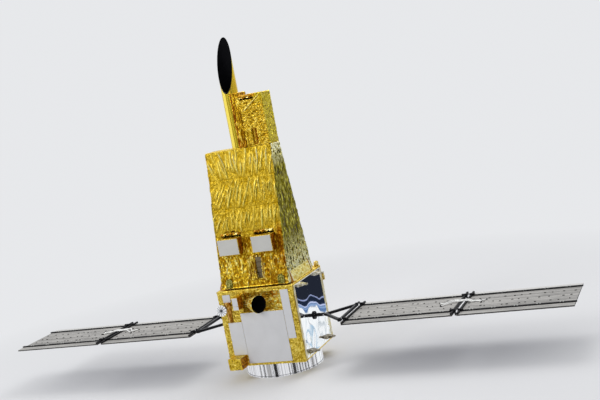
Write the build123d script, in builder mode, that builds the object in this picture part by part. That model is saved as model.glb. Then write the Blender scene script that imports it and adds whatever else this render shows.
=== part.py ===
from build123d import *
import os
from math import atan2, cos, degrees, hypot, pi, sin

# Small scientific satellite that stands on its launch separation ring.
# Millimetres. +Z runs up the long axis, +X along the right wing, and -Y is the front with the radiators.
# The origin is the centre of the ring's lower face.

# Separation ring
RING_RADIUS = 468.5
RING_WALL_RADIUS = 464.0
RING_INNER_RADIUS = 457.0
RING_HEIGHT = 157.0
RING_LIP = 12.0

# Bus, a box on the ring
BUS_WIDTH = 975.0
BUS_DEPTH = 944.0
BUS_HEIGHT = 924.0
BUS_EDGE = 8.0
BUS_BOTTOM = RING_HEIGHT
BUS_TOP = BUS_BOTTOM + BUS_HEIGHT
BUS_SIDE = BUS_WIDTH / 2
BUS_FRONT = -BUS_DEPTH / 2
BUS_BACK = BUS_DEPTH / 2

# Star tracker in its pocket at the top of the bus front
POCKET_LEFT, POCKET_RIGHT = -180.0, 312.0
POCKET_LOW, POCKET_HIGH = 806.0, 1032.0
POCKET_DEPTH = 150.0
TRACKER_MOUTH = (56.0, -520.0, 899.0)
TRACKER_AXIS = (0.866, -0.5, 0.0)
TRACKER_LENGTH = 225.0
TRACKER_MOUTH_RADIUS = 107.0
TRACKER_TAIL_RADIUS = 50.0
TRACKER_WALL = 4.0
TRACKER_LINER = 3.0
TRACKER_BACK = 24.0

# Instrument module, a wedge on feet above the bus
MODULE_GAP = 22.0
MODULE_HEIGHT = 1583.0
MODULE_LEFT, MODULE_RIGHT = -413.0, 445.0
MODULE_FRONT_LOW, MODULE_FRONT_HIGH = -442.0, -215.0
MODULE_BACK_LOW, MODULE_BACK_HIGH = 325.0, 46.0
MODULE_EDGE = 8.0
MODULE_BOTTOM = BUS_TOP + MODULE_GAP
MODULE_TOP = MODULE_BOTTOM + MODULE_HEIGHT

# Upper housing, baffle tube and the fairing between them
UPPER_LEFT, UPPER_RIGHT = 150.0, 445.0
UPPER_TOP = 3282.0
UPPER_EDGE = 6.0
TUBE_CENTRE = (1.0, -85.0)
TUBE_RADIUS = 96.5
TUBE_WALL = 4.0
TUBE_LINER = 2.5
TUBE_FLOOR = 12.0
TUBE_CUT_LOW, TUBE_CUT_HIGH = 3326.0, 3980.0
FAIRING_TOP = 3320.0
FAIRING_CLEAR = 1.0

# Wings. The drive turns about X, and three hinges about Y fold yoke and panels into a Z against the bus side.
WING_Z = 580.0
FOLD_X = 615.0
YOKE_END_X = 952.0
PANEL_HINGE_X = 2288.0
TIP_X = 3555.0
SPAR_Y = 308.0
SPAR = 30.0
PANEL_HALF_WIDTH = 440.0
PANEL_THICKNESS = 14.0
CELL_THICKNESS = 2.0
BAR = 20.0
YOKE_HINGE_RISE = 25.0
PANEL_HINGE_DROP = 45.0
SPAR_TOP = WING_Z + SPAR / 2
SPAR_BOTTOM = WING_Z - SPAR / 2
PANEL_BOTTOM = SPAR_BOTTOM - PANEL_THICKNESS

# Hinges. Each has two ears with a pin across them, and a lug that turns on the pin between the ears.
PIN_GAP = 0.1
SIDE_GAP = 1.0
EAR, LUG = 8.0, 16.0
PIN_RADIUS = 6.0
YOKE_EAR_RADIUS, PANEL_EAR_RADIUS = 12.0, 10.0
FOLD_EAR, FOLD_LUG = 12.0, 28.0
FOLD_PIN_RADIUS = 8.0
FOLD_EAR_RADIUS = 14.0
FOLD_HINGE = (FOLD_X, WING_Z)
YOKE_HINGE = (YOKE_END_X, WING_Z + YOKE_HINGE_RISE)
PANEL_HINGE = (PANEL_HINGE_X, WING_Z - PANEL_HINGE_DROP)

os.makedirs("parts", exist_ok=True)


def save(piece, name):
    """Writes one finished piece as its own node."""
    piece.label = name
    export_step(piece, f"parts/{name}.step")


def box_between(low, high, mode=Mode.ADD):
    """Adds a box given by its lowest and highest corners to the open part."""
    size = [b - a for a, b in zip(low, high)]
    with Locations(tuple(low)):
        Box(*size, align=(Align.MIN, Align.MIN, Align.MIN), mode=mode)


def panel_cone(base, length, near_radius, far_radius, sides):
    """A solid cone of flat panels, from the origin of the base plane along its normal."""
    turns = [2 * pi * (index + 0.5) / sides for index in range(sides)]
    near, far = [
        [base.from_local_coords((radius * cos(turn), radius * sin(turn), height)) for turn in turns]
        for height, radius in ((0, near_radius), (length, far_radius))
    ]
    faces = [Face(Wire.make_polygon(near)), Face(Wire.make_polygon(far))]
    for index in range(sides):
        corners = (near[index - 1], near[index], far[index], far[index - 1])
        faces.append(Face(Wire.make_polygon(corners)))
    return Solid(Shell(faces))


def left_of(right_piece):
    """The same piece on the other side of the satellite."""
    return mirror(right_piece, about=Plane.YZ)


# Separation ring: a thin turned hoop with the clamp band's lip round its foot
with BuildPart() as ring:
    with BuildSketch(Plane.XZ):
        with BuildLine():
            Polyline(
                (RING_INNER_RADIUS, 0),
                (RING_RADIUS, 0),
                (RING_RADIUS, RING_LIP),
                (RING_WALL_RADIUS, RING_LIP),
                (RING_WALL_RADIUS, RING_HEIGHT),
                (RING_INNER_RADIUS, RING_HEIGHT),
                close=True,
            )
        make_face()
    revolve(axis=Axis.Z)
save(ring.part, "separation_ring")

# Bus: a box in foil, with the star tracker's pocket in its front
with BuildPart() as bus:
    box_between((-BUS_SIDE, BUS_FRONT, BUS_BOTTOM), (BUS_SIDE, BUS_BACK, BUS_TOP))
    chamfer(bus.edges(), BUS_EDGE)
    box_between(
        (POCKET_LEFT, BUS_FRONT, POCKET_LOW),
        (POCKET_RIGHT, BUS_FRONT + POCKET_DEPTH, POCKET_HIGH),
        mode=Mode.SUBTRACT,
    )
save(bus.part, "bus_body")

# Radiators on the bus, flat plates with narrow seams between them
RADIATOR_THICKNESS = 4.0
FRONT_RADIATORS = (  # left, right, low, high
    (-406.0, -231.0, 300.0, 695.0),
    (-228.0, 322.0, 190.0, 798.0),
    (326.0, 425.0, 457.0, 1036.0),
)
with BuildPart() as front_radiators:
    for left, right, low, high in FRONT_RADIATORS:
        box_between((left, BUS_FRONT - RADIATOR_THICKNESS, low), (right, BUS_FRONT, high))
save(front_radiators.part, "front_radiators")

BACK_RADIATORS = (  # left, right, low, high
    (-410.0, -8.0, 260.0, 960.0),
    (8.0, 410.0, 260.0, 960.0),
)
with BuildPart() as back_radiators:
    for left, right, low, high in BACK_RADIATORS:
        box_between((left, BUS_BACK, low), (right, BUS_BACK + RADIATOR_THICKNESS, high))
save(back_radiators.part, "back_radiators")

# Star tracker: a cone of folded foil panels on a bracket from the pocket's back wall, with a black liner
TRACKER_SIDES = 28
TRACKER_BRACKET = ((-95.0, -400.0, 872.0), (-35.0, BUS_FRONT + POCKET_DEPTH, 926.0))
tracker_plane = Plane(
    origin=tuple(m - a * TRACKER_LENGTH for m, a in zip(TRACKER_MOUTH, TRACKER_AXIS)),
    x_dir=(0, 0, 1),
    z_dir=TRACKER_AXIS,
)


def tracker_cone(start, start_radius, end_radius):
    """A cone on the tracker's axis, from a distance along it to the mouth."""
    base = tracker_plane.offset(start)
    return panel_cone(base, TRACKER_LENGTH - start, start_radius, end_radius, TRACKER_SIDES)


shroud_inside = TRACKER_MOUTH_RADIUS - TRACKER_WALL
with BuildPart() as shroud:
    add(tracker_cone(0, TRACKER_TAIL_RADIUS, TRACKER_MOUTH_RADIUS))
    box_between(*TRACKER_BRACKET)
    add(tracker_cone(TRACKER_BACK, TRACKER_TAIL_RADIUS, shroud_inside), mode=Mode.SUBTRACT)
save(shroud.part, "star_tracker_shroud")

liner_floor = TRACKER_BACK + TRACKER_LINER
liner_radii = (TRACKER_TAIL_RADIUS - TRACKER_LINER, shroud_inside - TRACKER_LINER)
with BuildPart() as liner:
    add(tracker_cone(TRACKER_BACK, TRACKER_TAIL_RADIUS, shroud_inside))
    add(tracker_cone(liner_floor, *liner_radii), mode=Mode.SUBTRACT)
save(liner.part, "star_tracker_liner")

# Sensor box, white patches, tapered hood and corner box on the bus front
SENSOR_BOX = ((-244.0, -597.0, 866.0), (-165.0, BUS_FRONT, 1020.0))
SENSOR_CLEAR = 2.0
BOX_EDGE = 4.0
with BuildPart() as sensor_box:
    box_between(SENSOR_BOX[0], (POCKET_LEFT - SENSOR_CLEAR, BUS_FRONT, SENSOR_BOX[1][2]))
    box_between(SENSOR_BOX[0], (SENSOR_BOX[1][0], BUS_FRONT - SENSOR_CLEAR, SENSOR_BOX[1][2]))
    chamfer(sensor_box.faces().sort_by(Axis.Y)[0].edges(), BOX_EDGE)
save(sensor_box.part, "sensor_box")

PATCH = 3.0
WHITE_PATCHES = (  # left, right, low, high, y of the face behind
    (-418.0, -321.0, 944.0, 1034.0, BUS_FRONT),
    (-238.0, -171.0, 918.0, 1014.0, SENSOR_BOX[0][1]),
    (-238.0, -171.0, 872.0, 914.0, SENSOR_BOX[0][1]),
)
with BuildPart() as patches:
    for left, right, low, high, behind in WHITE_PATCHES:
        box_between((left, behind - PATCH, low), (right, behind, high))
save(patches.part, "white_patches")

HOOD_X = -366.0
HOOD_TOP, HOOD_BOTTOM = 942.0, 702.0
HOOD_TOP_RADIUS, HOOD_BOTTOM_RADIUS = 44.0, 27.0
HOOD_SIDES = 20
hood_foot = Plane(origin=(HOOD_X, BUS_FRONT, HOOD_BOTTOM))
with BuildPart() as hood:
    add(panel_cone(hood_foot, HOOD_TOP - HOOD_BOTTOM, HOOD_BOTTOM_RADIUS, HOOD_TOP_RADIUS, HOOD_SIDES))
    split(bisect_by=Plane.XZ.offset(-BUS_FRONT), keep=Keep.TOP)
save(hood.part, "sensor_hood")

CORNER_BOX = ((-430.0, -628.0, 160.0), (-258.0, BUS_FRONT, 297.0))
with BuildPart() as corner_box:
    box_between(*CORNER_BOX)
    chamfer(corner_box.faces().sort_by(Axis.Y)[0].edges(), BOX_EDGE)
save(corner_box.part, "corner_box")

# Radial antenna: a disc on a short stub, with raised petals round a hub
ANTENNA = (-434.0, -529.0, 865.0)
ANTENNA_RADIUS = 64.0
ANTENNA_DISC = 5.0
ANTENNA_STUB = 24.0
ANTENNA_HUB, ANTENNA_HUB_LENGTH = 18.0, 12.0
PETALS = 12
PETAL_LENGTH, PETAL_WIDTH, PETAL_HEIGHT, PETAL_CENTRE = 40.0, 24.0, 2.0, 38.0
PETAL_SPLAY = 100.0
with BuildPart() as antenna_stub:
    box_between(
        (ANTENNA[0] - ANTENNA_STUB / 2, ANTENNA[1], ANTENNA[2] - ANTENNA_STUB / 2),
        (ANTENNA[0] + ANTENNA_STUB / 2, BUS_FRONT, ANTENNA[2] + ANTENNA_STUB / 2),
    )
save(antenna_stub.part, "antenna_stub")

with BuildPart() as antenna:
    with BuildSketch(Plane.XZ.offset(-ANTENNA[1])):
        with Locations((ANTENNA[0], ANTENNA[2])):
            RegularPolygon(ANTENNA_RADIUS, 2 * PETALS)
    extrude(amount=ANTENNA_DISC)
    with BuildSketch(Plane.XZ.offset(-ANTENNA[1] + ANTENNA_DISC)):
        with Locations((ANTENNA[0], ANTENNA[2])):
            with PolarLocations(PETAL_CENTRE, PETALS):
                Trapezoid(PETAL_LENGTH, PETAL_WIDTH, PETAL_SPLAY, rotation=90)
    extrude(amount=PETAL_HEIGHT)
    with BuildSketch(Plane.XZ.offset(-ANTENNA[1] + ANTENNA_DISC)):
        with Locations((ANTENNA[0], ANTENNA[2])):
            RegularPolygon(ANTENNA_HUB / 2, 6)
    extrude(amount=ANTENNA_HUB_LENGTH)
save(antenna.part, "radial_antenna")

# Side films, drive flanges and hold-down brackets, mirrored left and right
FILM = 3.0
FILM_HALF_DEPTH = 445.0
FILM_LOW, FILM_HIGH = 182.0, 1060.0
FILM_FACE = BUS_SIDE + FILM
with BuildPart() as films:
    box_between((BUS_SIDE, -FILM_HALF_DEPTH, FILM_LOW), (FILM_FACE, FILM_HALF_DEPTH, FILM_HIGH))
    mirror(about=Plane.YZ)
save(films.part, "side_films")

FLANGE_RADIUS = 48.0
FLANGE = 14.0
with BuildPart() as flanges:
    with BuildSketch(Plane.YZ.offset(FILM_FACE)):
        with Locations((0, WING_Z)):
            Circle(FLANGE_RADIUS)
    extrude(amount=FLANGE)
    mirror(about=Plane.YZ)
save(flanges.part, "drive_flanges")

# A hold-down bracket tapers both ways, from its foot on the film to a pad that the folded wing is clamped to
HOLD_DOWN_TIP = 590.0
HOLD_DOWN_PAD = 8.0
HOLD_DOWN_FOOT_Y, HOLD_DOWN_TIP_Y, HOLD_DOWN_PAD_Y = 52.0, 20.0, 24.0
HOLD_DOWN_FOOT_Z, HOLD_DOWN_TIP_Z, HOLD_DOWN_PAD_Z = 22.0, 7.0, 10.0
HOLD_DOWNS = (  # y, z
    (-265.0, 229.0),
    (265.0, 229.0),
    (-265.0, 1026.0),
    (265.0, 1026.0),
)
with BuildPart() as hold_down:
    arm = HOLD_DOWN_TIP - HOLD_DOWN_PAD - FILM_FACE
    with BuildSketch(Plane.XZ.offset(-HOLD_DOWN_FOOT_Y)):
        with BuildLine():
            Polyline(
                (0, -HOLD_DOWN_FOOT_Z),
                (arm, -HOLD_DOWN_TIP_Z),
                (arm, HOLD_DOWN_TIP_Z),
                (0, HOLD_DOWN_FOOT_Z),
                close=True,
            )
        make_face()
    extrude(amount=2 * HOLD_DOWN_FOOT_Y)
    with BuildSketch(Plane.XY.offset(-HOLD_DOWN_FOOT_Z)):
        with BuildLine():
            Polyline(
                (0, -HOLD_DOWN_FOOT_Y),
                (arm, -HOLD_DOWN_TIP_Y),
                (arm, HOLD_DOWN_TIP_Y),
                (0, HOLD_DOWN_FOOT_Y),
                close=True,
            )
        make_face()
    extrude(amount=2 * HOLD_DOWN_FOOT_Z, mode=Mode.INTERSECT)
    box_between(
        (arm, -HOLD_DOWN_PAD_Y, -HOLD_DOWN_PAD_Z), (arm + HOLD_DOWN_PAD, HOLD_DOWN_PAD_Y, HOLD_DOWN_PAD_Z)
    )
with BuildPart() as hold_downs:
    with Locations(*[(FILM_FACE, y, z) for y, z in HOLD_DOWNS]):
        add(hold_down.part)
    mirror(about=Plane.YZ)
save(hold_downs.part, "hold_down_brackets")

# Instrument module on its six feet. Its front has a torn slot above each radiator box, and the vent's shaft.
FOOT = 50.0
FOOT_PLACES = (  # x, y
    (-330.0, -380.0),
    (360.0, -380.0),
    (-330.0, 260.0),
    (360.0, 260.0),
    (-330.0, -60.0),
    (360.0, -60.0),
)
with BuildPart() as feet:
    with Locations(*[(x, y, BUS_TOP) for x, y in FOOT_PLACES]):
        Box(FOOT, FOOT, MODULE_GAP, align=(Align.CENTER, Align.CENTER, Align.MIN))
save(feet.part, "module_feet")


def front_at(z):
    """The y of the module's sloping front at height z."""
    share = (z - MODULE_BOTTOM) / MODULE_HEIGHT
    return MODULE_FRONT_LOW + share * (MODULE_FRONT_HIGH - MODULE_FRONT_LOW)


def on_module_front(left, right, low, high, proud):
    """Adds a slab on the module's sloping front, flat at its back and parallel to the slope."""
    with BuildSketch(Plane.YZ.offset(left)) as section:
        with BuildLine():
            Polyline(
                (front_at(low) - proud, low),
                (front_at(low), low),
                (front_at(high), high),
                (front_at(high) - proud, high),
                close=True,
            )
        make_face()
    extrude(section.sketch, amount=right - left)


RADIATOR_BOXES = (  # left, right
    (-350.0, -78.0),
    (84.0, 346.0),
)
RADIATOR_BOX_LOW, RADIATOR_BOX_HIGH = 1492.0, 1690.0
RADIATOR_BOX_FRONT = -472.0
RADIATOR_BORDER = 8.0
TEAR_HEIGHT, TEAR_DEPTH = 26.0, 40.0
VENT_LEFT, VENT_RIGHT, VENT_LOW, VENT_HIGH = 66.0, 140.0, 1185.0, 1432.0
VENT_FLOOR = front_at(VENT_LOW) + 70.0
with BuildPart() as module:
    with BuildSketch(Plane.YZ.offset(MODULE_LEFT)):
        with BuildLine():
            Polyline(
                (MODULE_FRONT_LOW, MODULE_BOTTOM),
                (MODULE_BACK_LOW, MODULE_BOTTOM),
                (MODULE_BACK_HIGH, MODULE_TOP),
                (MODULE_FRONT_HIGH, MODULE_TOP),
                close=True,
            )
        make_face()
    extrude(amount=MODULE_RIGHT - MODULE_LEFT)
    chamfer(module.edges(), MODULE_EDGE)
    for left, right in RADIATOR_BOXES:
        box_between(
            (left + RADIATOR_BORDER, MODULE_FRONT_LOW, RADIATOR_BOX_HIGH),
            (
                right - RADIATOR_BORDER,
                front_at(RADIATOR_BOX_HIGH) + TEAR_DEPTH,
                RADIATOR_BOX_HIGH + TEAR_HEIGHT,
            ),
            mode=Mode.SUBTRACT,
        )
    box_between(
        (VENT_LEFT, MODULE_FRONT_LOW, VENT_LOW), (VENT_RIGHT, VENT_FLOOR, VENT_HIGH), mode=Mode.SUBTRACT
    )
save(module.part, "instrument_housing")

with BuildPart() as radiator_boxes:
    for left, right in RADIATOR_BOXES:
        with BuildSketch(Plane.YZ.offset(left)):
            with BuildLine():
                Polyline(
                    (RADIATOR_BOX_FRONT, RADIATOR_BOX_LOW),
                    (front_at(RADIATOR_BOX_LOW), RADIATOR_BOX_LOW),
                    (front_at(RADIATOR_BOX_HIGH), RADIATOR_BOX_HIGH),
                    (RADIATOR_BOX_FRONT, RADIATOR_BOX_HIGH),
                    close=True,
                )
            make_face()
        extrude(amount=right - left)
save(radiator_boxes.part, "module_radiator_boxes")

with BuildPart() as radiator_faces:
    for left, right in RADIATOR_BOXES:
        box_between(
            (
                left + RADIATOR_BORDER,
                RADIATOR_BOX_FRONT - RADIATOR_THICKNESS,
                RADIATOR_BOX_LOW + RADIATOR_BORDER,
            ),
            (right - RADIATOR_BORDER, RADIATOR_BOX_FRONT, RADIATOR_BOX_HIGH - RADIATOR_BORDER),
        )
save(radiator_faces.part, "module_radiator_faces")

# Vent: a frame of folded foil round a shaft with four plates on its floor
VENT_FRAME = (-43.0, 152.0, 1172.0, 1450.0)  # left, right, low, high
VENT_PROUD = 16.0
VENT_PLATES = 4
VENT_PLATE_DEPTH = 44.0
VENT_PLATE_GAP = 6.0
vent_pitch = (VENT_HIGH - VENT_LOW) / VENT_PLATES
with BuildPart() as vent_frame:
    on_module_front(*VENT_FRAME, VENT_PROUD)
    box_between(
        (VENT_LEFT, MODULE_FRONT_LOW - VENT_PROUD, VENT_LOW),
        (VENT_RIGHT, VENT_FLOOR, VENT_HIGH),
        mode=Mode.SUBTRACT,
    )
save(vent_frame.part, "vent_frame")

with BuildPart() as vent_plates:
    for index in range(VENT_PLATES):
        low = VENT_LOW + index * vent_pitch + VENT_PLATE_GAP / 2
        box_between(
            (VENT_LEFT + VENT_PLATE_GAP / 2, VENT_FLOOR - VENT_PLATE_DEPTH, low),
            (VENT_RIGHT - VENT_PLATE_GAP / 2, VENT_FLOOR, low + vent_pitch - VENT_PLATE_GAP),
        )
save(vent_plates.part, "vent_plates")

# Arched covers over the front feet, parallel to the sloping front
FOOT_COVERS = (-312.0, 354.0)
FOOT_COVER_RADIUS, FOOT_COVER_HEIGHT, FOOT_COVER_PROUD = 42.0, 108.0, 7.0
arch_centre = MODULE_BOTTOM + FOOT_COVER_HEIGHT - FOOT_COVER_RADIUS
with BuildPart() as foot_covers:
    for x in FOOT_COVERS:
        with BuildSketch(Plane.XZ.offset(-front_at(arch_centre))):
            with Locations((x, arch_centre)):
                Circle(FOOT_COVER_RADIUS)
            with Locations((x, MODULE_BOTTOM)):
                Rectangle(
                    2 * FOOT_COVER_RADIUS, arch_centre - MODULE_BOTTOM, align=(Align.CENTER, Align.MIN)
                )
        extrude(amount=FOOT_COVER_HEIGHT / 2, both=True)
    with BuildSketch(Plane.YZ.offset(MODULE_LEFT)):
        with BuildLine():
            top = MODULE_BOTTOM + 2 * FOOT_COVER_HEIGHT
            Polyline(
                (front_at(MODULE_BOTTOM) - FOOT_COVER_PROUD, MODULE_BOTTOM),
                (front_at(MODULE_BOTTOM), MODULE_BOTTOM),
                (front_at(top), top),
                (front_at(top) - FOOT_COVER_PROUD, top),
                close=True,
            )
        make_face()
    extrude(amount=MODULE_RIGHT - MODULE_LEFT, mode=Mode.INTERSECT)
save(foot_covers.part, "foot_covers")

# Sloping skirts between the module's sides and the deck's edges, ended by triangular gussets
SKIRT_FRONT, SKIRT_BACK = -362.0, 208.0
SKIRT_TOP = 1225.0
GUSSET = 10.0
GUSSET_FOOT_RISE, GUSSET_TOP_RISE = 18.0, 26.0
SIDES = (  # module side, deck edge
    (MODULE_RIGHT, BUS_SIDE - BUS_EDGE),
    (MODULE_LEFT, -BUS_SIDE + BUS_EDGE),
)
with BuildPart() as skirts:
    for side, edge in SIDES:
        with BuildSketch(Plane.XZ.offset(-SKIRT_FRONT)):
            with BuildLine():
                Polyline((side, BUS_TOP), (edge, BUS_TOP), (side, SKIRT_TOP), close=True)
            make_face()
        extrude(amount=SKIRT_FRONT - SKIRT_BACK)
save(skirts.part, "base_skirts")

with BuildPart() as gussets:
    for side, edge in SIDES:
        for start in (SKIRT_FRONT - GUSSET, SKIRT_BACK):
            with BuildSketch(Plane.XZ.offset(-start)):
                with BuildLine():
                    Polyline(
                        (side, BUS_TOP),
                        (edge, BUS_TOP),
                        (edge, BUS_TOP + GUSSET_FOOT_RISE),
                        (side, SKIRT_TOP + GUSSET_TOP_RISE),
                        close=True,
                    )
                make_face()
            extrude(amount=-GUSSET)
save(gussets.part, "base_gussets")

# Foil-wrapped knobs at the deck's rear corners, and wrapped lugs below them on the bus back
KNOB = (452.0, 430.0)
KNOB_RADIUS, KNOB_HEIGHT, KNOB_EDGE = 30.0, 62.0, 16.0
KNOB_SIDES = 12
REAR_LUG = ((452.0, BUS_BACK, 886.0), (504.0, BUS_BACK + 40.0, 986.0))
REAR_LUG_EDGE = 12.0
with BuildPart() as knobs:
    with BuildSketch(Plane.XY.offset(BUS_TOP)):
        with Locations(KNOB):
            RegularPolygon(KNOB_RADIUS, KNOB_SIDES)
    extrude(amount=KNOB_HEIGHT)
    chamfer(knobs.edges().group_by(Axis.Z)[-1], KNOB_EDGE)
    box_between(*REAR_LUG)
    chamfer(knobs.faces().sort_by(Axis.Y)[-1].edges(), REAR_LUG_EDGE)
    mirror(about=Plane.YZ)
save(knobs.part, "corner_knobs")

# Upper housing beside the baffle tube, with a dark slot near its top and a notch at its foot
UPPER_OPENINGS = (  # left, right, low, high
    (180.0, 330.0, 3238.0, 3254.0),
    (240.0, 302.0, 2706.0, 2890.0),
)
UPPER_OPENING_DEPTH = 45.0
with BuildPart() as upper:
    box_between((UPPER_LEFT, MODULE_FRONT_HIGH, MODULE_TOP), (UPPER_RIGHT, MODULE_BACK_HIGH, UPPER_TOP))
    chamfer(upper.edges(), UPPER_EDGE)
    for left, right, low, high in UPPER_OPENINGS:
        box_between(
            (left, MODULE_FRONT_HIGH, low),
            (right, MODULE_FRONT_HIGH + UPPER_OPENING_DEPTH, high),
            mode=Mode.SUBTRACT,
        )
save(upper.part, "upper_housing")

# Fairing: a foil-covered wedge that fills the corner between the tube and the upper housing
FAIRING_OUTLINE = (  # x, y
    (28.0, -188.0),
    (UPPER_LEFT, -212.0),
    (UPPER_LEFT, 20.0),
    (64.0, 20.0),
)
with BuildPart() as fairing:
    with BuildSketch(Plane.XY.offset(MODULE_TOP)):
        with BuildLine():
            Polyline(*FAIRING_OUTLINE, close=True)
        make_face()
        with Locations(TUBE_CENTRE):
            Circle(TUBE_RADIUS + FAIRING_CLEAR, mode=Mode.SUBTRACT)
    extrude(amount=FAIRING_TOP - MODULE_TOP)
with BuildPart() as fairing_kept:
    add(fairing.part.solids().sort_by(SortBy.VOLUME)[-1])
save(fairing_kept.part, "baffle_fairing")

# Baffle tube with its steep mouth facing forward, and a black liner
TUBE_BOTTOM = MODULE_TOP + TUBE_FLOOR
mouth_plane = Plane(
    origin=(TUBE_CENTRE[0], TUBE_CENTRE[1], (TUBE_CUT_LOW + TUBE_CUT_HIGH) / 2),
    x_dir=(1, 0, 0),
    z_dir=(0, TUBE_CUT_LOW - TUBE_CUT_HIGH, 2 * TUBE_RADIUS),
)


def upright_cylinder(radius, low, high, mode=Mode.ADD):
    """Adds or cuts a cylinder on the baffle's axis between two heights."""
    with Locations((*TUBE_CENTRE, low)):
        Cylinder(radius, high - low, align=(Align.CENTER, Align.CENTER, Align.MIN), mode=mode)


with BuildPart() as tube:
    upright_cylinder(TUBE_RADIUS, MODULE_TOP, TUBE_CUT_HIGH)
    upright_cylinder(TUBE_RADIUS - TUBE_WALL, TUBE_BOTTOM, TUBE_CUT_HIGH, mode=Mode.SUBTRACT)
    split(bisect_by=mouth_plane, keep=Keep.BOTTOM)
save(tube.part, "telescope_baffle")

with BuildPart() as tube_liner:
    upright_cylinder(TUBE_RADIUS - TUBE_WALL, TUBE_BOTTOM, TUBE_CUT_HIGH)
    upright_cylinder(
        TUBE_RADIUS - TUBE_WALL - TUBE_LINER, TUBE_BOTTOM + TUBE_LINER, TUBE_CUT_HIGH, mode=Mode.SUBTRACT
    )
    split(bisect_by=mouth_plane, keep=Keep.BOTTOM)
save(tube_liner.part, "baffle_liner")


def hinge_plate(y_low, thickness, hinge, radius, corner, opposite):
    """Adds a plate across Y: a round end about the hinge axis, and a foot given by two corners in X and Z."""
    with BuildSketch(Plane.XZ.offset(-y_low)) as outline:
        with Locations(hinge):
            Circle(radius)
        with Locations(((corner[0] + opposite[0]) / 2, (corner[1] + opposite[1]) / 2)):
            Rectangle(abs(opposite[0] - corner[0]), abs(opposite[1] - corner[1]))
    extrude(outline.sketch, amount=-thickness)


def rod_along_y(hinge, y, length, radius, mode=Mode.ADD):
    """Adds a pin, or cuts its hole, about the hinge axis and centred on y."""
    with BuildSketch(Plane.XZ.offset(length / 2 - y)) as circle:
        with Locations(hinge):
            Circle(radius)
    extrude(circle.sketch, amount=-length, mode=mode)


# Root fitting: the drive's output shaft, a black tube and the clevis of the fold hinge
ROOT_TUBE_RADIUS = 21.0
ROOT_CLEAR = 1.0
CLEVIS_BACK, CLEVIS_FRONT = FOLD_X - 50.0, FOLD_X - 26.0
FOLD_EAR_INNER = FOLD_LUG / 2 + SIDE_GAP
FOLD_EAR_OUTER = FOLD_EAR_INNER + FOLD_EAR
with BuildPart() as root_fitting:
    with BuildSketch(Plane.YZ.offset(FILM_FACE + FLANGE + ROOT_CLEAR)):
        with Locations((0, WING_Z)):
            Circle(ROOT_TUBE_RADIUS)
    extrude(amount=CLEVIS_BACK - FILM_FACE - FLANGE - ROOT_CLEAR)
    box_between(
        (CLEVIS_BACK, -FOLD_EAR_OUTER, WING_Z - FOLD_EAR_RADIUS),
        (CLEVIS_FRONT, FOLD_EAR_OUTER, WING_Z + FOLD_EAR_RADIUS),
    )
    for y_low in (-FOLD_EAR_OUTER, FOLD_EAR_INNER):
        hinge_plate(
            y_low,
            FOLD_EAR,
            FOLD_HINGE,
            FOLD_EAR_RADIUS,
            (CLEVIS_BACK, WING_Z - FOLD_EAR_RADIUS),
            (FOLD_X, WING_Z + FOLD_EAR_RADIUS),
        )
    rod_along_y(FOLD_HINGE, 0, 2 * FOLD_EAR_OUTER, FOLD_PIN_RADIUS)
save(root_fitting.part, "root_fitting_right")
save(left_of(root_fitting.part), "root_fitting_left")

# Yoke: a lug at the fold hinge, two arms and a cross tube, with hinge ears above the arms' ends
YOKE_BLOCK = (FOLD_X + 20.0, FOLD_X + 56.0)
YOKE_BLOCK_WIDTH = 64.0
YOKE_ARM = 26.0
YOKE_ARM_START = (YOKE_BLOCK[0] + 16.0, 14.0)
YOKE_ARM_END = (YOKE_END_X - 30.0, SPAR_Y)
YOKE_SHOE = (YOKE_END_X - 50.0, YOKE_END_X - 14.0)
YOKE_SHOE_WIDTH = 44.0
YOKE_CROSS = (YOKE_END_X - 40.0, YOKE_END_X - 16.0)
YOKE_EAR_BACK = YOKE_END_X - 46.0
EAR_INNER = LUG / 2 + SIDE_GAP
EAR_OUTER = EAR_INNER + EAR
SEAT = 2.0
HINGE_FOOT = 8.0


def bar_between(start, end, width):
    """Adds a straight bar's plan outline to the open sketch."""
    run_x, run_y = end[0] - start[0], end[1] - start[1]
    with Locations(((start[0] + end[0]) / 2, (start[1] + end[1]) / 2)):
        Rectangle(hypot(run_x, run_y), width, rotation=degrees(atan2(run_y, run_x)))


with BuildPart() as yoke:
    with BuildSketch(Plane.XY.offset(SPAR_BOTTOM)):
        bar_between((YOKE_BLOCK[0], 0), (YOKE_BLOCK[1], 0), YOKE_BLOCK_WIDTH)
        bar_between((YOKE_CROSS[0], 0), (YOKE_CROSS[1], 0), 2 * SPAR_Y)
        for side in (-1, 1):
            arm_start, arm_end = [(x, side * y) for x, y in (YOKE_ARM_START, YOKE_ARM_END)]
            bar_between(arm_start, arm_end, YOKE_ARM)
            bar_between((YOKE_SHOE[0], side * SPAR_Y), (YOKE_SHOE[1], side * SPAR_Y), YOKE_SHOE_WIDTH)
    extrude(amount=SPAR)
    hinge_plate(
        -FOLD_LUG / 2,
        FOLD_LUG,
        FOLD_HINGE,
        FOLD_EAR_RADIUS,
        (FOLD_X, WING_Z - FOLD_EAR_RADIUS),
        (YOKE_BLOCK[0] + SEAT, WING_Z + FOLD_EAR_RADIUS),
    )
    rod_along_y(FOLD_HINGE, 0, FOLD_LUG, FOLD_PIN_RADIUS + PIN_GAP, mode=Mode.SUBTRACT)
    for side in (-1, 1):
        for y_low in (side * SPAR_Y - EAR_OUTER, side * SPAR_Y + EAR_INNER):
            hinge_plate(
                y_low,
                EAR,
                YOKE_HINGE,
                YOKE_EAR_RADIUS,
                (YOKE_EAR_BACK, SPAR_TOP - SEAT),
                (YOKE_END_X, SPAR_TOP + HINGE_FOOT),
            )
        rod_along_y(YOKE_HINGE, side * SPAR_Y, 2 * EAR_OUTER, PIN_RADIUS)
save(yoke.part, "yoke_right")
save(left_of(yoke.part), "yoke_left")

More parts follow.
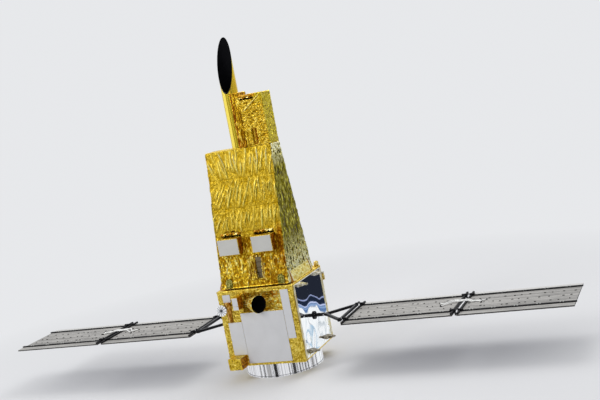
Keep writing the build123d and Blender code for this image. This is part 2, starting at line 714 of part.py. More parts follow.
# Panels: a sandwich sheet, two low spars on its back that thicken towards the hinges, a cross bar at each
# hinged end, and strings of cells under it
SPAR_START = YOKE_END_X + 14.0
SPAR_BREAK = 14.0
INNER_SHEET = (YOKE_END_X + 24.0, PANEL_HINGE_X - 26.0)
OUTER_SHEET = (PANEL_HINGE_X + 26.0, TIP_X)
TIP_BRACKET = 14.0
SPAR_LOW = 12.0
SPAR_BLOCK = 60.0
YOKE_LUG_LENGTH = 48.0
DROP_FOOT = 10.0
CELL_COLUMNS, CELL_ROWS = 2, 6
CELL_MARGIN, CELL_SEAM = 12.0, 6.0


def add_frame(spar_start, spar_end, hinged_ends, bars):
    """Adds a panel's two low spars, full-height blocks at their hinged ends, and the cross bars."""
    for side in (-1, 1):
        y_low, y_high = side * SPAR_Y - SPAR / 2, side * SPAR_Y + SPAR / 2
        box_between((spar_start, y_low, SPAR_BOTTOM), (spar_end, y_high, SPAR_BOTTOM + SPAR_LOW))
        for start in hinged_ends:
            box_between((start, y_low, SPAR_BOTTOM), (start + SPAR_BLOCK, y_high, SPAR_TOP))
    for x in bars:
        box_between((x, -PANEL_HALF_WIDTH, SPAR_BOTTOM), (x + BAR, PANEL_HALF_WIDTH, SPAR_BOTTOM + BAR))


def sheet_piece(span):
    """The panel's sandwich sheet over a span of X."""
    with BuildPart() as sheet:
        box_between((span[0], -PANEL_HALF_WIDTH, PANEL_BOTTOM), (span[1], PANEL_HALF_WIDTH, SPAR_BOTTOM))
    return sheet.part


def cell_piece(span):
    """Strings of cells under a panel, as thin plates that don't touch."""
    length = (span[1] - span[0] - 2 * CELL_MARGIN + CELL_SEAM) / CELL_COLUMNS
    width = (2 * PANEL_HALF_WIDTH - 2 * CELL_MARGIN + CELL_SEAM) / CELL_ROWS
    with BuildPart() as cells:
        for column in range(CELL_COLUMNS):
            for row in range(CELL_ROWS):
                x = span[0] + CELL_MARGIN + column * length
                y = -PANEL_HALF_WIDTH + CELL_MARGIN + row * width
                box_between(
                    (x, y, PANEL_BOTTOM - CELL_THICKNESS),
                    (x + length - CELL_SEAM, y + width - CELL_SEAM, PANEL_BOTTOM),
                )
    return cells.part


with BuildPart() as inner_frame:
    spar_end = PANEL_HINGE_X - SPAR_BREAK
    add_frame(
        SPAR_START, spar_end, (SPAR_START, spar_end - SPAR_BLOCK), (INNER_SHEET[0], INNER_SHEET[1] - BAR)
    )
    for side in (-1, 1):
        y = side * SPAR_Y
        hinge_plate(
            y - LUG / 2,
            LUG,
            YOKE_HINGE,
            YOKE_EAR_RADIUS,
            (YOKE_END_X, SPAR_TOP - SEAT),
            (YOKE_END_X + YOKE_LUG_LENGTH, SPAR_TOP + HINGE_FOOT),
        )
        rod_along_y(YOKE_HINGE, y, LUG, PIN_RADIUS + PIN_GAP, mode=Mode.SUBTRACT)
        for y_low in (y - EAR_OUTER, y + EAR_INNER):
            ear_back = PANEL_HINGE_X - SPAR_BREAK - DROP_FOOT
            box_between(
                (ear_back, y_low, PANEL_HINGE[1]), (ear_back + DROP_FOOT, y_low + EAR, SPAR_BOTTOM + SEAT)
            )
            hinge_plate(
                y_low,
                EAR,
                PANEL_HINGE,
                PANEL_EAR_RADIUS,
                (ear_back, PANEL_HINGE[1] - PANEL_EAR_RADIUS),
                (PANEL_HINGE_X, PANEL_HINGE[1] + PANEL_EAR_RADIUS),
            )
        rod_along_y(PANEL_HINGE, y, 2 * EAR_OUTER, PIN_RADIUS)
save(inner_frame.part, "inner_frame_right")
save(left_of(inner_frame.part), "inner_frame_left")

with BuildPart() as outer_frame:
    spar_start = PANEL_HINGE_X + SPAR_BREAK
    add_frame(spar_start, TIP_X + TIP_BRACKET, (spar_start,), (OUTER_SHEET[0],))
    for side in (-1, 1):
        y = side * SPAR_Y
        lug_back = PANEL_HINGE_X + SPAR_BREAK + DROP_FOOT
        box_between(
            (lug_back - DROP_FOOT, y - LUG / 2, PANEL_HINGE[1]),
            (lug_back, y + LUG / 2, SPAR_BOTTOM + SEAT),
        )
        hinge_plate(
            y - LUG / 2,
            LUG,
            PANEL_HINGE,
            PANEL_EAR_RADIUS,
            (PANEL_HINGE_X, PANEL_HINGE[1] - PANEL_EAR_RADIUS),
            (lug_back, PANEL_HINGE[1] + PANEL_EAR_RADIUS),
        )
        rod_along_y(PANEL_HINGE, y, LUG, PIN_RADIUS + PIN_GAP, mode=Mode.SUBTRACT)
save(outer_frame.part, "outer_frame_right")
save(left_of(outer_frame.part), "outer_frame_left")

for name, span in (("inner", INNER_SHEET), ("outer", OUTER_SHEET)):
    panel = sheet_piece(span)
    save(panel, f"{name}_panel_right")
    save(left_of(panel), f"{name}_panel_left")
    strings = cell_piece(span)
    save(strings, f"{name}_cells_right")
    save(left_of(strings), f"{name}_cells_left")
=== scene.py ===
from math import cos, pi, radians, sin, tau

import bmesh
import bpy
import numpy as np
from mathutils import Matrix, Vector, noise


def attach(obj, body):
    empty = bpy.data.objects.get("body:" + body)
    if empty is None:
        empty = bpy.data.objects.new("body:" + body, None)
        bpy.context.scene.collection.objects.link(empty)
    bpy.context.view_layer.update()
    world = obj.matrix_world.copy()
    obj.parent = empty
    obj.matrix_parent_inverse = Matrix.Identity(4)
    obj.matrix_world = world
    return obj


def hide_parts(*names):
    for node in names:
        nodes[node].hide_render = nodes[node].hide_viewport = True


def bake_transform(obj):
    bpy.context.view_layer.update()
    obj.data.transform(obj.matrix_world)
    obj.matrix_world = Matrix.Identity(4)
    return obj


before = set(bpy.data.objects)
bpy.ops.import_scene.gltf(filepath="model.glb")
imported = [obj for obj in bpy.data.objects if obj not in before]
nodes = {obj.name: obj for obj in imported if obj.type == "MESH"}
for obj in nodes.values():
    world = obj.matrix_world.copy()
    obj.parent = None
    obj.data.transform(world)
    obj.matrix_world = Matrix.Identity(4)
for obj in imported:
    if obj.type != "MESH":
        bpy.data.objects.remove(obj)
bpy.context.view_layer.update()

# A small scientific satellite in crumpled gold foil, standing on its launch ring. Metres, in the CAD frame:
# +Z up the long axis, +X along the right wing, -Y the front with the pale radiators.
scene = bpy.context.scene
scene.view_settings.view_transform = "Standard"

# The camera looks from the front right, a little above the bus, and is rolled as the photograph is.
camera_lens = bpy.data.cameras.new("camera")
camera_lens.sensor_width = 36.0
camera_lens.lens = 59.27
camera = bpy.data.objects.new("camera", camera_lens)
camera.location = (5.0687, -10.5030, 3.3526)
camera.rotation_euler = [radians(angle) for angle in (82.954, 10.649, 21.816)]
scene.collection.objects.link(camera)
scene.camera = camera


# The stage: a pale floor that fades into the background, two soft lamps and an even sky. Dark flags stand all
# round, seen only in reflections, as a studio puts black cards round polished metal and foil.
class Lead:
    """A node's output, led on to other nodes. Arithmetic on it adds Math nodes."""

    def __init__(self, tree, socket=None):
        self.tree, self.socket = tree, socket

    def node(self, kind, settings=None, sockets=None, output=0):
        """Adds a node: its settings first, then the values or leads of its sockets, by name or number."""
        made = self.tree.nodes.new("ShaderNode" + kind)
        for name, value in (settings or {}).items():
            if name == "stops":
                stops = made.color_ramp.elements
                stops.remove(stops[1])
                stops[0].position, stops[0].color = value[0][0], (*value[0][1], 1)
                for place, colour in value[1:]:
                    stops.new(place).color = (*colour, 1)
            else:
                setattr(made, name, value)
        for name, value in (sockets or {}).items():
            if isinstance(value, Lead):
                self.tree.links.new(value.socket, made.inputs[name])
            else:
                made.inputs[name].default_value = value
        return Lead(self.tree, made.outputs[output])

    def math(self, operation, *values, clamp=False):
        return self.node("Math", {"operation": operation, "use_clamp": clamp}, dict(enumerate(values)))

    def __add__(self, other):
        return self.math("ADD", self, other)

    def __sub__(self, other):
        return self.math("SUBTRACT", self, other)

    def __rsub__(self, other):
        return self.math("SUBTRACT", other, self)

    def __mul__(self, other):
        return self.math("MULTIPLY", self, other)

    def __gt__(self, other):
        return self.math("GREATER_THAN", self, other)

    def __lt__(self, other):
        return self.math("LESS_THAN", self, other)

    def __or__(self, other):
        return self.math("MAXIMUM", self, other)

    __radd__, __rmul__, __ror__ = __add__, __mul__, __or__

    def size(self):
        return self.math("ABSOLUTE", self)

    def span(self, low, high):
        """0 at low and 1 at high, and straight between them."""
        return self.node("MapRange", {"clamp": True}, {"Value": self, "From Min": low, "From Max": high})

    def blend(self, first, second):
        """The colour first where this is 0, and second where it is 1."""
        colours = [c if isinstance(c, Lead) else (*c, 1) for c in (first, second)]
        return self.node("Mix", {"data_type": "RGBA"}, {0: self, 6: colours[0], 7: colours[1]}, 2)

    def ramp(self, stops):
        """The colour between stops, each a place from 0 to 1 and a colour."""
        return self.node("ValToRGB", {"stops": stops}, {0: self})

    def place(self, stretch=(1, 1, 1)):
        """The point's place on the piece in metres, stretched."""
        spot = self.node("TexCoord", output="Object")
        return self.node("VectorMath", {"operation": "MULTIPLY"}, {0: spot, 1: stretch})

    def axis(self, letter, of="Object"):
        """One axis of the point's place, or of the way that the surface faces."""
        return self.node("SeparateXYZ", sockets={0: self.node("TexCoord", output=of)}, output=letter)

    def sideways(self, low=0.45, high=0.75):
        """0 where the surface faces the front, the back or up, and 1 where it faces left or right."""
        return self.axis("X", "Normal").size().span(low, high)

    def noise(self, where, scale, detail=2.0, rough=0.5):
        sockets = {"Vector": where, "Scale": scale, "Detail": detail, "Roughness": rough}
        return self.node("TexNoise", sockets=sockets)

    def ripple(self, scale, detail=2.0):
        """Noise that only this changes."""
        sockets = {"W": self, "Scale": scale, "Detail": detail}
        return self.node("TexNoise", {"noise_dimensions": "1D"}, sockets)

    def to(self, name, node="Principled BSDF"):
        self.tree.links.new(self.socket, self.tree.nodes[node].inputs[name])

    def raises(self, strength, distance):
        """Bumps the surface up by this height."""
        self.node("Bump", sockets={"Height": self, "Strength": strength, "Distance": distance}).to("Normal")


def finish(name, colour, roughness, metallic=0.0, sheen=0.5, coat=0.0):
    """A material with its plain values, and a lead to start from. sheen is how strongly it mirrors, 0.5 for
    plain paint."""
    made = bpy.data.materials.new(name)
    made.use_nodes = True
    sockets = made.node_tree.nodes["Principled BSDF"].inputs
    sockets["Base Color"].default_value = (*colour, 1)
    sockets["Roughness"].default_value = roughness
    sockets["Metallic"].default_value = metallic
    sockets["Specular IOR Level"].default_value = sheen
    sockets["Coat Weight"].default_value = coat
    return made, Lead(made.node_tree)


def mesh_piece(name, points, faces, *materials):
    mesh = bpy.data.meshes.new(name)
    mesh.from_pydata(points, [], faces)
    mesh.update()
    for material in materials:
        mesh.materials.append(material)
    piece = bpy.data.objects.new(name, mesh)
    scene.collection.objects.link(piece)
    return piece


def circle(centre, across, other, radius, sides, offset=0.0):
    """Points round a circle, from the first axis towards the other."""
    turns = (tau * (step + offset) / sides for step in range(sides))
    return [centre + (across * cos(turn) + other * sin(turn)) * radius for turn in turns]


X, Y, Z = Vector((1, 0, 0)), Vector((0, 1, 0)), Vector((0, 0, 1))
PALE, SOFT_SKY = (0.80, 0.81, 0.83), (0.60, 0.61, 0.63)
FLOOR_RADIUS, FLOOR_SIDES, FLOOR_DROP = 60.0, 64, 0.002
FADE_START, FADE_END = 2.2, 7.0
floor_finish, lead = finish("pale_floor", (0.72, 0.72, 0.73), 0.9)
far = lead.node("VectorMath", {"operation": "LENGTH"}, {0: lead.place()}, "Value").span(FADE_START, FADE_END)
pale_surface = Lead(lead.tree, lead.tree.nodes["Principled BSDF"].outputs[0])
glow = lead.node("Emission", sockets={"Color": (*PALE, 1)})
glow.node("MixShader", sockets={0: far, 1: pale_surface, 2: glow}).to("Surface", "Material Output")
floor_edge = circle(Z * -FLOOR_DROP, X, Y, FLOOR_RADIUS, FLOOR_SIDES)
floor = mesh_piece("floor", floor_edge, [tuple(range(FLOOR_SIDES))], floor_finish)
floor.visible_glossy = False

world = bpy.data.worlds.new("studio")
world.use_nodes = True
scene.world = world
sky = Lead(world.node_tree)
seen = sky.node("LightPath", output="Is Camera Ray")
for ray in ("Is Glossy Ray", "Is Transmission Ray"):
    seen = seen | sky.node("LightPath", output=ray)
backdrop = sky.node("Background", sockets={"Color": (*PALE, 1)})
soft = sky.node("Background", sockets={"Color": (*SOFT_SKY, 1)})
sky.node("MixShader", sockets={0: seen, 1: soft, 2: backdrop}).to("Surface", "World Output")

AIM = Z * 1.6  # the lamps point at the satellite's middle
for name, place, size, watts in (
    ("key_lamp", (-5.0, -7.5, 6.5), 4.0, 400.0),
    ("top_lamp", (1.5, 2.5, 7.5), 5.0, 260.0),
):
    lamp = bpy.data.lights.new(name, "AREA")
    lamp.size, lamp.energy = size, watts
    hung = bpy.data.objects.new(name, lamp)
    hung.location = place
    hung.rotation_euler = (AIM - Vector(place)).to_track_quat("-Z", "Y").to_euler()
    scene.collection.objects.link(hung)

FLAG_DISTANCE, FLAG_LOW, FLAG_HIGH = 7.0, -7.0, 8.0
FLAGS = (  # direction from the satellite and half its width in degrees, and how bright it is
    (2, 1.8, 0.02), (20, 4.0, 0.28), (37, 1.5, 0.02), (101, 1.5, 0.02), (129, 0.8, 0.10),
    (158, 1.2, 0.25), (186, 1.0, 0.30), (215, 1.8, 0.15), (229, 2.0, 0.08), (243, 7.0, 0.42),
    (255, 0.8, 0.20), (264, 5.0, 0.04), (272, 0.8, 0.15), (303, 1.0, 0.20), (310, 1.0, 0.06),
    (318, 4.5, 0.05), (327, 1.2, 0.10), (335, 1.6, 0.02), (343, 1.2, 0.02), (352, 1.6, 0.02),
)
flag_points, flag_faces = [], []
for turn, half, shade in FLAGS:
    start = len(flag_points)
    for edge in (radians(turn - half), radians(turn + half)):
        for height in (FLAG_LOW, FLAG_HIGH):
            flag_points.append((FLAG_DISTANCE * cos(edge), FLAG_DISTANCE * sin(edge), height))
    flag_faces.append((start, start + 1, start + 3, start + 2))
flag_finish, lead = finish("flag_cloth", (0, 0, 0), 1.0)
shade = lead.node("Attribute", {"attribute_name": "shade"}, output="Fac")
shade.node("Emission", sockets={"Color": shade}).to("Surface", "Material Output")
flags = mesh_piece("dark_flags", flag_points, flag_faces, flag_finish)
shades = flags.data.attributes.new("shade", "FLOAT", "FACE")
shades.data.foreach_set("value", [shade for _, _, shade in FLAGS])

# The card that the right side film mirrors: deep blue above, two wavy pale lines, and white below with thin
# arches and dark marks. The camera doesn't see it.
CARD_Y, CARD_LEFT, CARD_RIGHT, CARD_LOW, CARD_HIGH = 2.6, 1.0, 3.2, -1.4, 0.75
card_finish, lead = finish("card_bands", (0, 0, 0), 1.0)
BAND_LOW, BAND_HIGH = -0.06, 0.20
x, z = lead.axis("X"), lead.axis("Z")
arched = lead.math("COSINE", 23.3 * x - 37.5)
waver = lead.noise(lead.place((17, 1, 0)), 1.0, 1.0) - 0.5
bands = (z - 0.024 * arched + 0.022 * waver).span(BAND_LOW, BAND_HIGH).ramp([
    ((at - BAND_LOW) / (BAND_HIGH - BAND_LOW), colour) for at, colour in (
        (-0.050, (0.16, 0.27, 0.46)), (0.000, (0.10, 0.19, 0.40)), (0.022, (0.30, 0.44, 0.70)),
        (0.046, (0.10, 0.18, 0.36)), (0.051, (0.62, 0.70, 0.95)), (0.064, (0.55, 0.62, 0.90)),
        (0.070, (0.030, 0.055, 0.12)), (0.085, (0.014, 0.022, 0.045)), (0.148, (0.014, 0.022, 0.045)),
        (0.154, (0.36, 0.42, 0.68)), (0.166, (0.32, 0.38, 0.62)), (0.172, (0.017, 0.021, 0.034)),
    )
])
streak = lead.noise(lead.place((38, 1, 3.0)), 1.0, 2.0).span(0.50, 0.72)
white = streak.blend((0.98, 1.0, 1.0), (0.62, 0.69, 0.74))
ARCHES = (  # middle, top, foot, half width at the foot, half the line's width, colour
    (1.637, 0.030, -0.110, 0.080, 0.0035, (0.34, 0.36, 0.42)),
    (1.712, -0.255, -0.430, 0.055, 0.0085, (0.36, 0.54, 0.70)),
    (1.530, -0.210, -0.520, 0.040, 0.0040, (0.48, 0.54, 0.58)),
)
for middle, top, foot, half, thick, colour in ARCHES:
    leg = ((x - middle).size() - half * z.span(top, foot) + 0.02 * waver).size() < thick
    white = (leg * (z < top)).blend(white, colour)
MARKS = ((1.794, -0.500, 0.013, 0.032), (1.862, -0.412, 0.009, 0.016))  # x, z, half width, half height
for mark_x, mark_z, wide, high in MARKS:
    across, up = (x - mark_x) * (1 / wide), (z - mark_z) * (1 / high)
    mark = across * across + up * up < 1.0
    white = mark.blend(white, (0.02, 0.03, 0.09))
below = (z - 0.052 * arched + 0.03 * waver).span(-0.012, -0.030)
bands = below.blend(bands, white)
bands.node("Emission", sockets={"Color": bands}).to("Surface", "Material Output")
card_corners = [(x, CARD_Y, z) for z in (CARD_LOW, CARD_HIGH) for x in (CARD_LEFT, CARD_RIGHT)]
card = mesh_piece("film_card", card_corners, [(0, 1, 3, 2)], card_finish)
for stand in (flags, card):
    stand.visible_camera = stand.visible_diffuse = stand.visible_shadow = stand.visible_transmission = False


# Foil blankets: crinkled metallised film over bus and module, sewn and taped on by hand. Each is the CAD form
# under an even mesh of small cells, pushed in and out along its folds. Creases are painted browner than
# crests as shade, crests are painted brighter as highlights, and each facet has a painted reflection of its
# own.
def creased(points, size, seed):
    """Crumpled foil's height at each point, -1 to 1, with sharp ridges and valleys about size apart."""
    heights = []
    for point in points:
        spot = Vector(point) / size + Vector((seed, seed * 1.7, 0))
        valley = abs(noise.noise(spot * 1.7 + Vector((5.2, 1.3, 9.1))))
        heights.append(1.9 * (valley - abs(noise.noise(spot))))
    return np.array(heights)


def scattered(across, up, pace, seed):
    """Smooth noise, -1 to 1, for each place on a face. pace is how fast it changes across and up."""
    return np.array([noise.noise((a * pace[0], seed, u * pace[1])) for a, u in zip(across, up)])


def fetched(items, what):
    """A vector of each of a mesh's vertices or faces, as rows."""
    values = np.zeros(3 * len(items))
    items.foreach_get(what, values)
    return values.reshape(-1, 3)


def reshaped(blanket, modifier, settings):
    """Gives the blanket's mesh the form that a modifier makes of it, and returns the new mesh."""
    added = blanket.modifiers.new("shaper", modifier)
    for setting, value in settings.items():
        setattr(added, setting, value)
    bpy.context.view_layer.update()
    made = bpy.data.meshes.new_from_object(blanket.evaluated_get(bpy.context.evaluated_depsgraph_get()))
    blanket.modifiers.clear()
    blanket.data = made
    return made


FACETS = 0.42  # flat stretches between the creases become single facets, down to this share of the faces


def foil_blanket(name, node, cell, depth, shape, materials, lining=None, lift=None):
    """Wraps a CAD node in foil. shape(points, normals) gives how far out each point stands, and lift the same
    for whole areas, which keep their painted fold shade. lining(middles) says which faces take the second
    material."""
    blanket = bpy.data.objects.new(name, nodes[node].data.copy())
    scene.collection.objects.link(blanket)
    worked = bmesh.new()
    worked.from_mesh(blanket.data)
    bmesh.ops.remove_doubles(worked, verts=worked.verts, dist=1e-5)
    worked.to_mesh(blanket.data)
    worked.free()
    wrapped = reshaped(blanket, "REMESH", {"mode": "VOXEL", "voxel_size": cell})
    points, normals = fetched(wrapped.vertices, "co"), fetched(wrapped.vertices, "normal")
    heights = shape(points, normals)
    raised = heights + lift(points, normals) if lift else heights
    wrapped.vertices.foreach_set("co", (points + normals * raised[:, None]).ravel())
    # The fold height, which the finish paints as shade in the valleys and as highlight on the ridges.
    wrapped.attributes.new("fold", "FLOAT", "POINT").data.foreach_set("value", 0.5 + heights / (2 * depth))
    wrapped = reshaped(blanket, "DECIMATE", {"ratio": FACETS})
    wrapped.shade_flat()
    wrapped.name = name
    wrapped.materials.clear()
    for material in materials:
        wrapped.materials.append(material)
    marks = lining(fetched(wrapped.polygons, "center")) if lining else np.zeros(len(wrapped.polygons))
    wrapped.polygons.foreach_set("material_index", marks.astype(np.int32))
    wrapped.update()
    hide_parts(node)
    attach(blanket, "root_structure")


def foil(name, crease, crest, glint, at=(0.14, 0.48, 0.86), roughness=0.24, metallic=1.0, grain=38.0,
         fold_shading=0.5, drawn=1.0, tints_and_painted_light=None):
    """Crumpled metallised film: small flat facets between sharp creases. Each facet's colour holds a painted
    reflection of its own, painted shade darkens the creases, and painted highlights brighten the crests and
    glints.
    at says at which shades the crease, the crest and the glint colours stand. The fold argument says how much
    of this comes from the blanket's folds, as painted shade in their valleys and painted highlight on their
    ridges, and drawn below 1 pulls the facets out upwards. The last argument, a function of the lead, this
    painted shading and the colour, changes the colour by place, for the film's own tints and for more painted
    light and shade."""
    made, lead = finish(name, crest, roughness, metallic)
    where = lead.place((1, 1, drawn))
    warp = lead.noise(where, grain * 0.5, 1.0)
    spot = lead.node("VectorMath", {"operation": "ADD"}, {0: where, 1: lead.node(
        "VectorMath", {"operation": "SCALE"}, {0: warp, "Scale": 0.6 / grain})})
    cells = {"Vector": spot, "Scale": grain}
    crumple = lead.node("TexVoronoi", {"feature": "DISTANCE_TO_EDGE"}, cells)
    close = lead.node("TexVoronoi", {"feature": "DISTANCE_TO_EDGE"}, {"Vector": spot, "Scale": grain * 2.3})
    # Each facet's own random shade is a painted reflection, and nearness to the crumple's edges is painted
    # shade in the creases.
    facet_reflection = lead.node("SeparateXYZ", sockets={0: lead.node("TexVoronoi", {"feature": "F1"}, cells, "Color")})
    painted_facet_light = 0.50 * facet_reflection + 0.55 * crumple + 0.45 * close + 0.02
    if fold_shading:
        fold = lead.node("Attribute", {"attribute_name": "fold"}, output="Fac").span(0.1, 0.9)
        painted_facet_light = painted_facet_light * (1 - fold_shading) + fold * fold_shading
    colour = painted_facet_light.ramp(list(zip(at, (crease, crest, glint))))
    if tints_and_painted_light:
        colour = tints_and_painted_light(lead, painted_facet_light, colour)
    colour.to("Base Color")
    (roughness + 0.12 * lead.noise(where, 9.0)).to("Roughness")
    (crumple + 0.4 * close).raises(0.7, 0.3 / grain)
    return made


def painted_side_shade(lead, painted_facet_light, colour):
    """The sides of the boxes mirror each other and the front, and are painted a deep brown as that reflection
    and as shade.
    """
    side = painted_facet_light.ramp([(0.2, (0.20, 0.060, 0.002)), (0.6, (0.74, 0.33, 0.014)), (0.95, (1.0, 0.66, 0.08))])
    return lead.sideways().blend(colour, side)


# Bus blanket: fine close crinkle, painted brighter on the deck as light on its upward faces. The star
# tracker's pocket is lined with loose film, with painted orange reflections right of the tracker and painted
# shade along its top.
POCKET_X, POCKET_Y, POCKET_Z = (-0.186, 0.318), (-0.466, -0.312), (0.800, 1.038)
UNDER_PLATES = 0.0016  # the close crinkle stays below the plates on the bus


def painted_deck_light(lead, painted_facet_light, colour):
    """The deck's film, painted brighter than the sides' as light falling on its upward faces."""
    bright = painted_facet_light.ramp([(0.14, (0.74, 0.42, 0.02)), (0.5, (1.0, 0.84, 0.16)), (0.86, (1.0, 1.0, 0.66))])
    return lead.axis("Z", "Normal").span(0.45, 0.75).blend(colour, bright)


bus_foil = foil("bus_foil", (0.46, 0.28, 0.012), (1.0, 0.77, 0.13), (1.0, 0.96, 0.56), grain=46.0,
                tints_and_painted_light=painted_deck_light)


def pocket_reflection_and_shade(lead, painted_facet_light, colour):
    """Painted orange reflections in the pocket's folds right of the tracker, and painted shade along its top.
    """
    orange = painted_facet_light.ramp([(0.16, (0.66, 0.20, 0.004)), (0.40, (1.0, 0.58, 0.04)), (0.66, (1.0, 0.94, 0.34))])
    x, z = lead.axis("X"), lead.axis("Z")
    # Painted reflection beside the tracker, and painted shade under the pocket's top edge.
    beside = x.span(0.10, 0.15) * x.span(0.27, 0.20) * z.span(0.90, 0.94)
    top = 0.5 * z.span(1.000, 1.020)
    return (beside | top).blend(colour, orange)


pocket_film = foil("pocket_film", (0.62, 0.30, 0.008), (1.0, 0.78, 0.08), (1.0, 0.97, 0.34),
                   at=(0.10, 0.26, 0.60), roughness=0.12, metallic=0.6, grain=20.0, fold_shading=0.35, drawn=1.5,
                   tints_and_painted_light=pocket_reflection_and_shade)


def within(value, limits):
    """Whether numbers, or a lead, lie between two limits."""
    return (value > limits[0]) * (value < limits[1])


def in_pocket(points):
    x, y, z = points.T
    return within(x, POCKET_X) & within(y, POCKET_Y) & within(z, POCKET_Z)


def bus_shape(points, normals):
    """Close crinkle on the bus, and loose film in the pocket."""
    close = 0.0026 * creased(points, 0.022, 3) + 0.0010 * creased(points, 0.05, 4) - 0.0014
    loose = 0.013 * creased(points * (1, 1, 1.7), 0.11, 5) - 0.003
    return np.where(in_pocket(points), loose, np.minimum(close, UNDER_PLATES))


foil_blanket("bus_blanket", "bus_body", 0.0070, 0.003, bus_shape, (bus_foil, pocket_film), lining=in_pocket)

# Module blanket: long hand-made wrinkles in bands between horizontal seams, and closer crumple below the
# boxes and at the greener sides' head and foot. It is torn above each radiator box, where the openings are
# painted near black as shade, and steps out where it is lapped over the left side's lower part.
BROWN, GOLD, PALE_GOLD = (0.38, 0.23, 0.005), (0.74, 0.53, 0.055), (1.0, 0.85, 0.22)
MODULE_LEFT, MODULE_RIGHT, MODULE_LOW = -0.413, 0.445, 1.103
FRONT_LOW, FRONT_SLOPE, BOXES_TOP = -0.442, 0.1434, 1.71
SIDE_FOOT, SIDE_HEAD = 1.66, 2.42  # where the sides' close crumple starts, downwards and upwards
SEAMS, SEAM_HALF = (2.350, 2.012, 1.725), 0.012
BANDS = (  # low, high, lean at the left and at the right, folds, height of the folds
    (2.350, 2.686, 0.26, -0.22, 24, 0.0120),
    (2.012, 2.350, -0.62, -0.02, 26, 0.0132),
    (1.725, 2.012, -0.30, 0.04, 25, 0.0128),
    (1.200, 1.500, 0.20, -0.16, 22, 0.0105),
)
LAP_TOP, LAP, HANG = 2.10, 0.008, 0.009  # the lap's height, how far it steps out, and how far the foot hangs
TEARS = ((-0.345, -0.083), (0.089, 0.341))
TEAR_LOW, TEAR_HIGH = 1.683, 1.722


def module_front(z):
    return FRONT_LOW + FRONT_SLOPE * (z - MODULE_LOW)


def module_shape(points, normals):
    """Leaning folds in each band, flat along the seams, and crumple low on the front. The sides hang in long
    drapes, with close crumple at their head and foot."""
    x, y, z = points.T
    drawn = points * (1, 1, 0.45)
    fine = 0.0011 * creased(drawn, 0.017, 8) + 0.0014 * creased(drawn, 0.044, 9)
    draw = np.random.default_rng(5)
    long = np.zeros(len(points))
    for low, high, lean_left, lean_right, count, tallest in BANDS:
        along = (z - low) / (high - low)
        for index in range(count):
            share = (index + 0.5 + draw.uniform(-0.45, 0.45)) / count
            lean = lean_left + (lean_right - lean_left) * share + draw.uniform(-0.16, 0.16)
            start, end = draw.uniform(-0.15, 0.40), draw.uniform(0.62, 1.15)
            half, rise = draw.uniform(0.009, 0.017), draw.uniform(0.35, 1.0) * tallest
            bend = 0.010 * np.sin(along * draw.uniform(2, 8) + draw.uniform(0, 6))
            foot = MODULE_LEFT + (MODULE_RIGHT - MODULE_LEFT) * share
            across = (x - foot + lean * (z - (low + high) / 2) - bend) / half
            flank = 1 - np.where(across < 0, -across / 1.5, across / 0.8)
            taper = np.clip((along - start) / 0.20, 0, 1) * np.clip((end - along) / 0.20, 0, 1)
            ridge = rise * taper * np.clip(flank, 0, 1)
            valley = 0.30 * rise * taper * np.clip(1 - np.abs(across - 1.5) / 0.8, 0, 1)
            long = np.where(ridge > long, ridge, long - valley)
    edge = np.min([np.abs(z - seam) for seam in SEAMS], axis=0)
    calm = np.clip(edge / SEAM_HALF, 0, 1)
    low_part = np.clip((BOXES_TOP - z) / 0.05, 0, 1) * (normals[:, 1] < 0)
    crumple = 0.0050 * creased(points * (1, 1, 0.50), 0.036, 31)
    front = (long * (1 - 0.25 * low_part) + crumple * low_part) * calm
    front = front - 0.0035 - 0.0007 * (1 - calm) + fine
    upright = points / (1, 0.023, 0.10)
    draped = np.array([abs(noise.noise((7.7, y, z))) for _, y, z in upright])
    side = 0.0065 * np.clip(1 - 2.6 * draped, 0, 1) - 0.0035 + 1.5 * fine
    speckled = np.clip((SIDE_FOOT - z) / 0.25, 0, 1) + np.clip((z - SIDE_HEAD) / 0.16, 0, 1)
    specks = 0.0075 * creased(points * (1, 1, 0.6), 0.024, 33)
    side = side * (1 - speckled) + specks * speckled
    heights = np.where(np.abs(normals[:, 1]) > 0.6, front, 1.6 * fine)
    heights = np.where(np.abs(normals[:, 0]) > 0.6, side, heights)
    return np.where(y > module_front(z) + 0.010, heights, np.maximum(heights, -0.008))


def module_lap(points, normals):
    """The film steps out where it is lapped, and hangs down a little at the foot."""
    return LAP * ((normals[:, 0] < -0.6) & (points[:, 2] < LAP_TOP)) + HANG * (normals[:, 2] < -0.6)


def in_tear(middles):
    x, y, z = middles.T
    jag = scattered(x, z, (75, 18), 0)
    first, last = TEARS[0]
    arch = 0.018 * np.sin(pi * np.clip((x - first) / (last - first), 0, 1))
    high = TEAR_HIGH + 0.034 * jag - 0.006 + arch
    mouths = np.any([within(x, tear) for tear in TEARS], axis=0)
    flecks = (jag > 0.22) & (z < TEAR_HIGH + 0.012)
    unpatched = scattered(x, z, (48, 60), 9) < 0.10
    return mouths & unpatched & (z > TEAR_LOW) & ((z < high) | flecks) & (y < module_front(z) + 0.05)


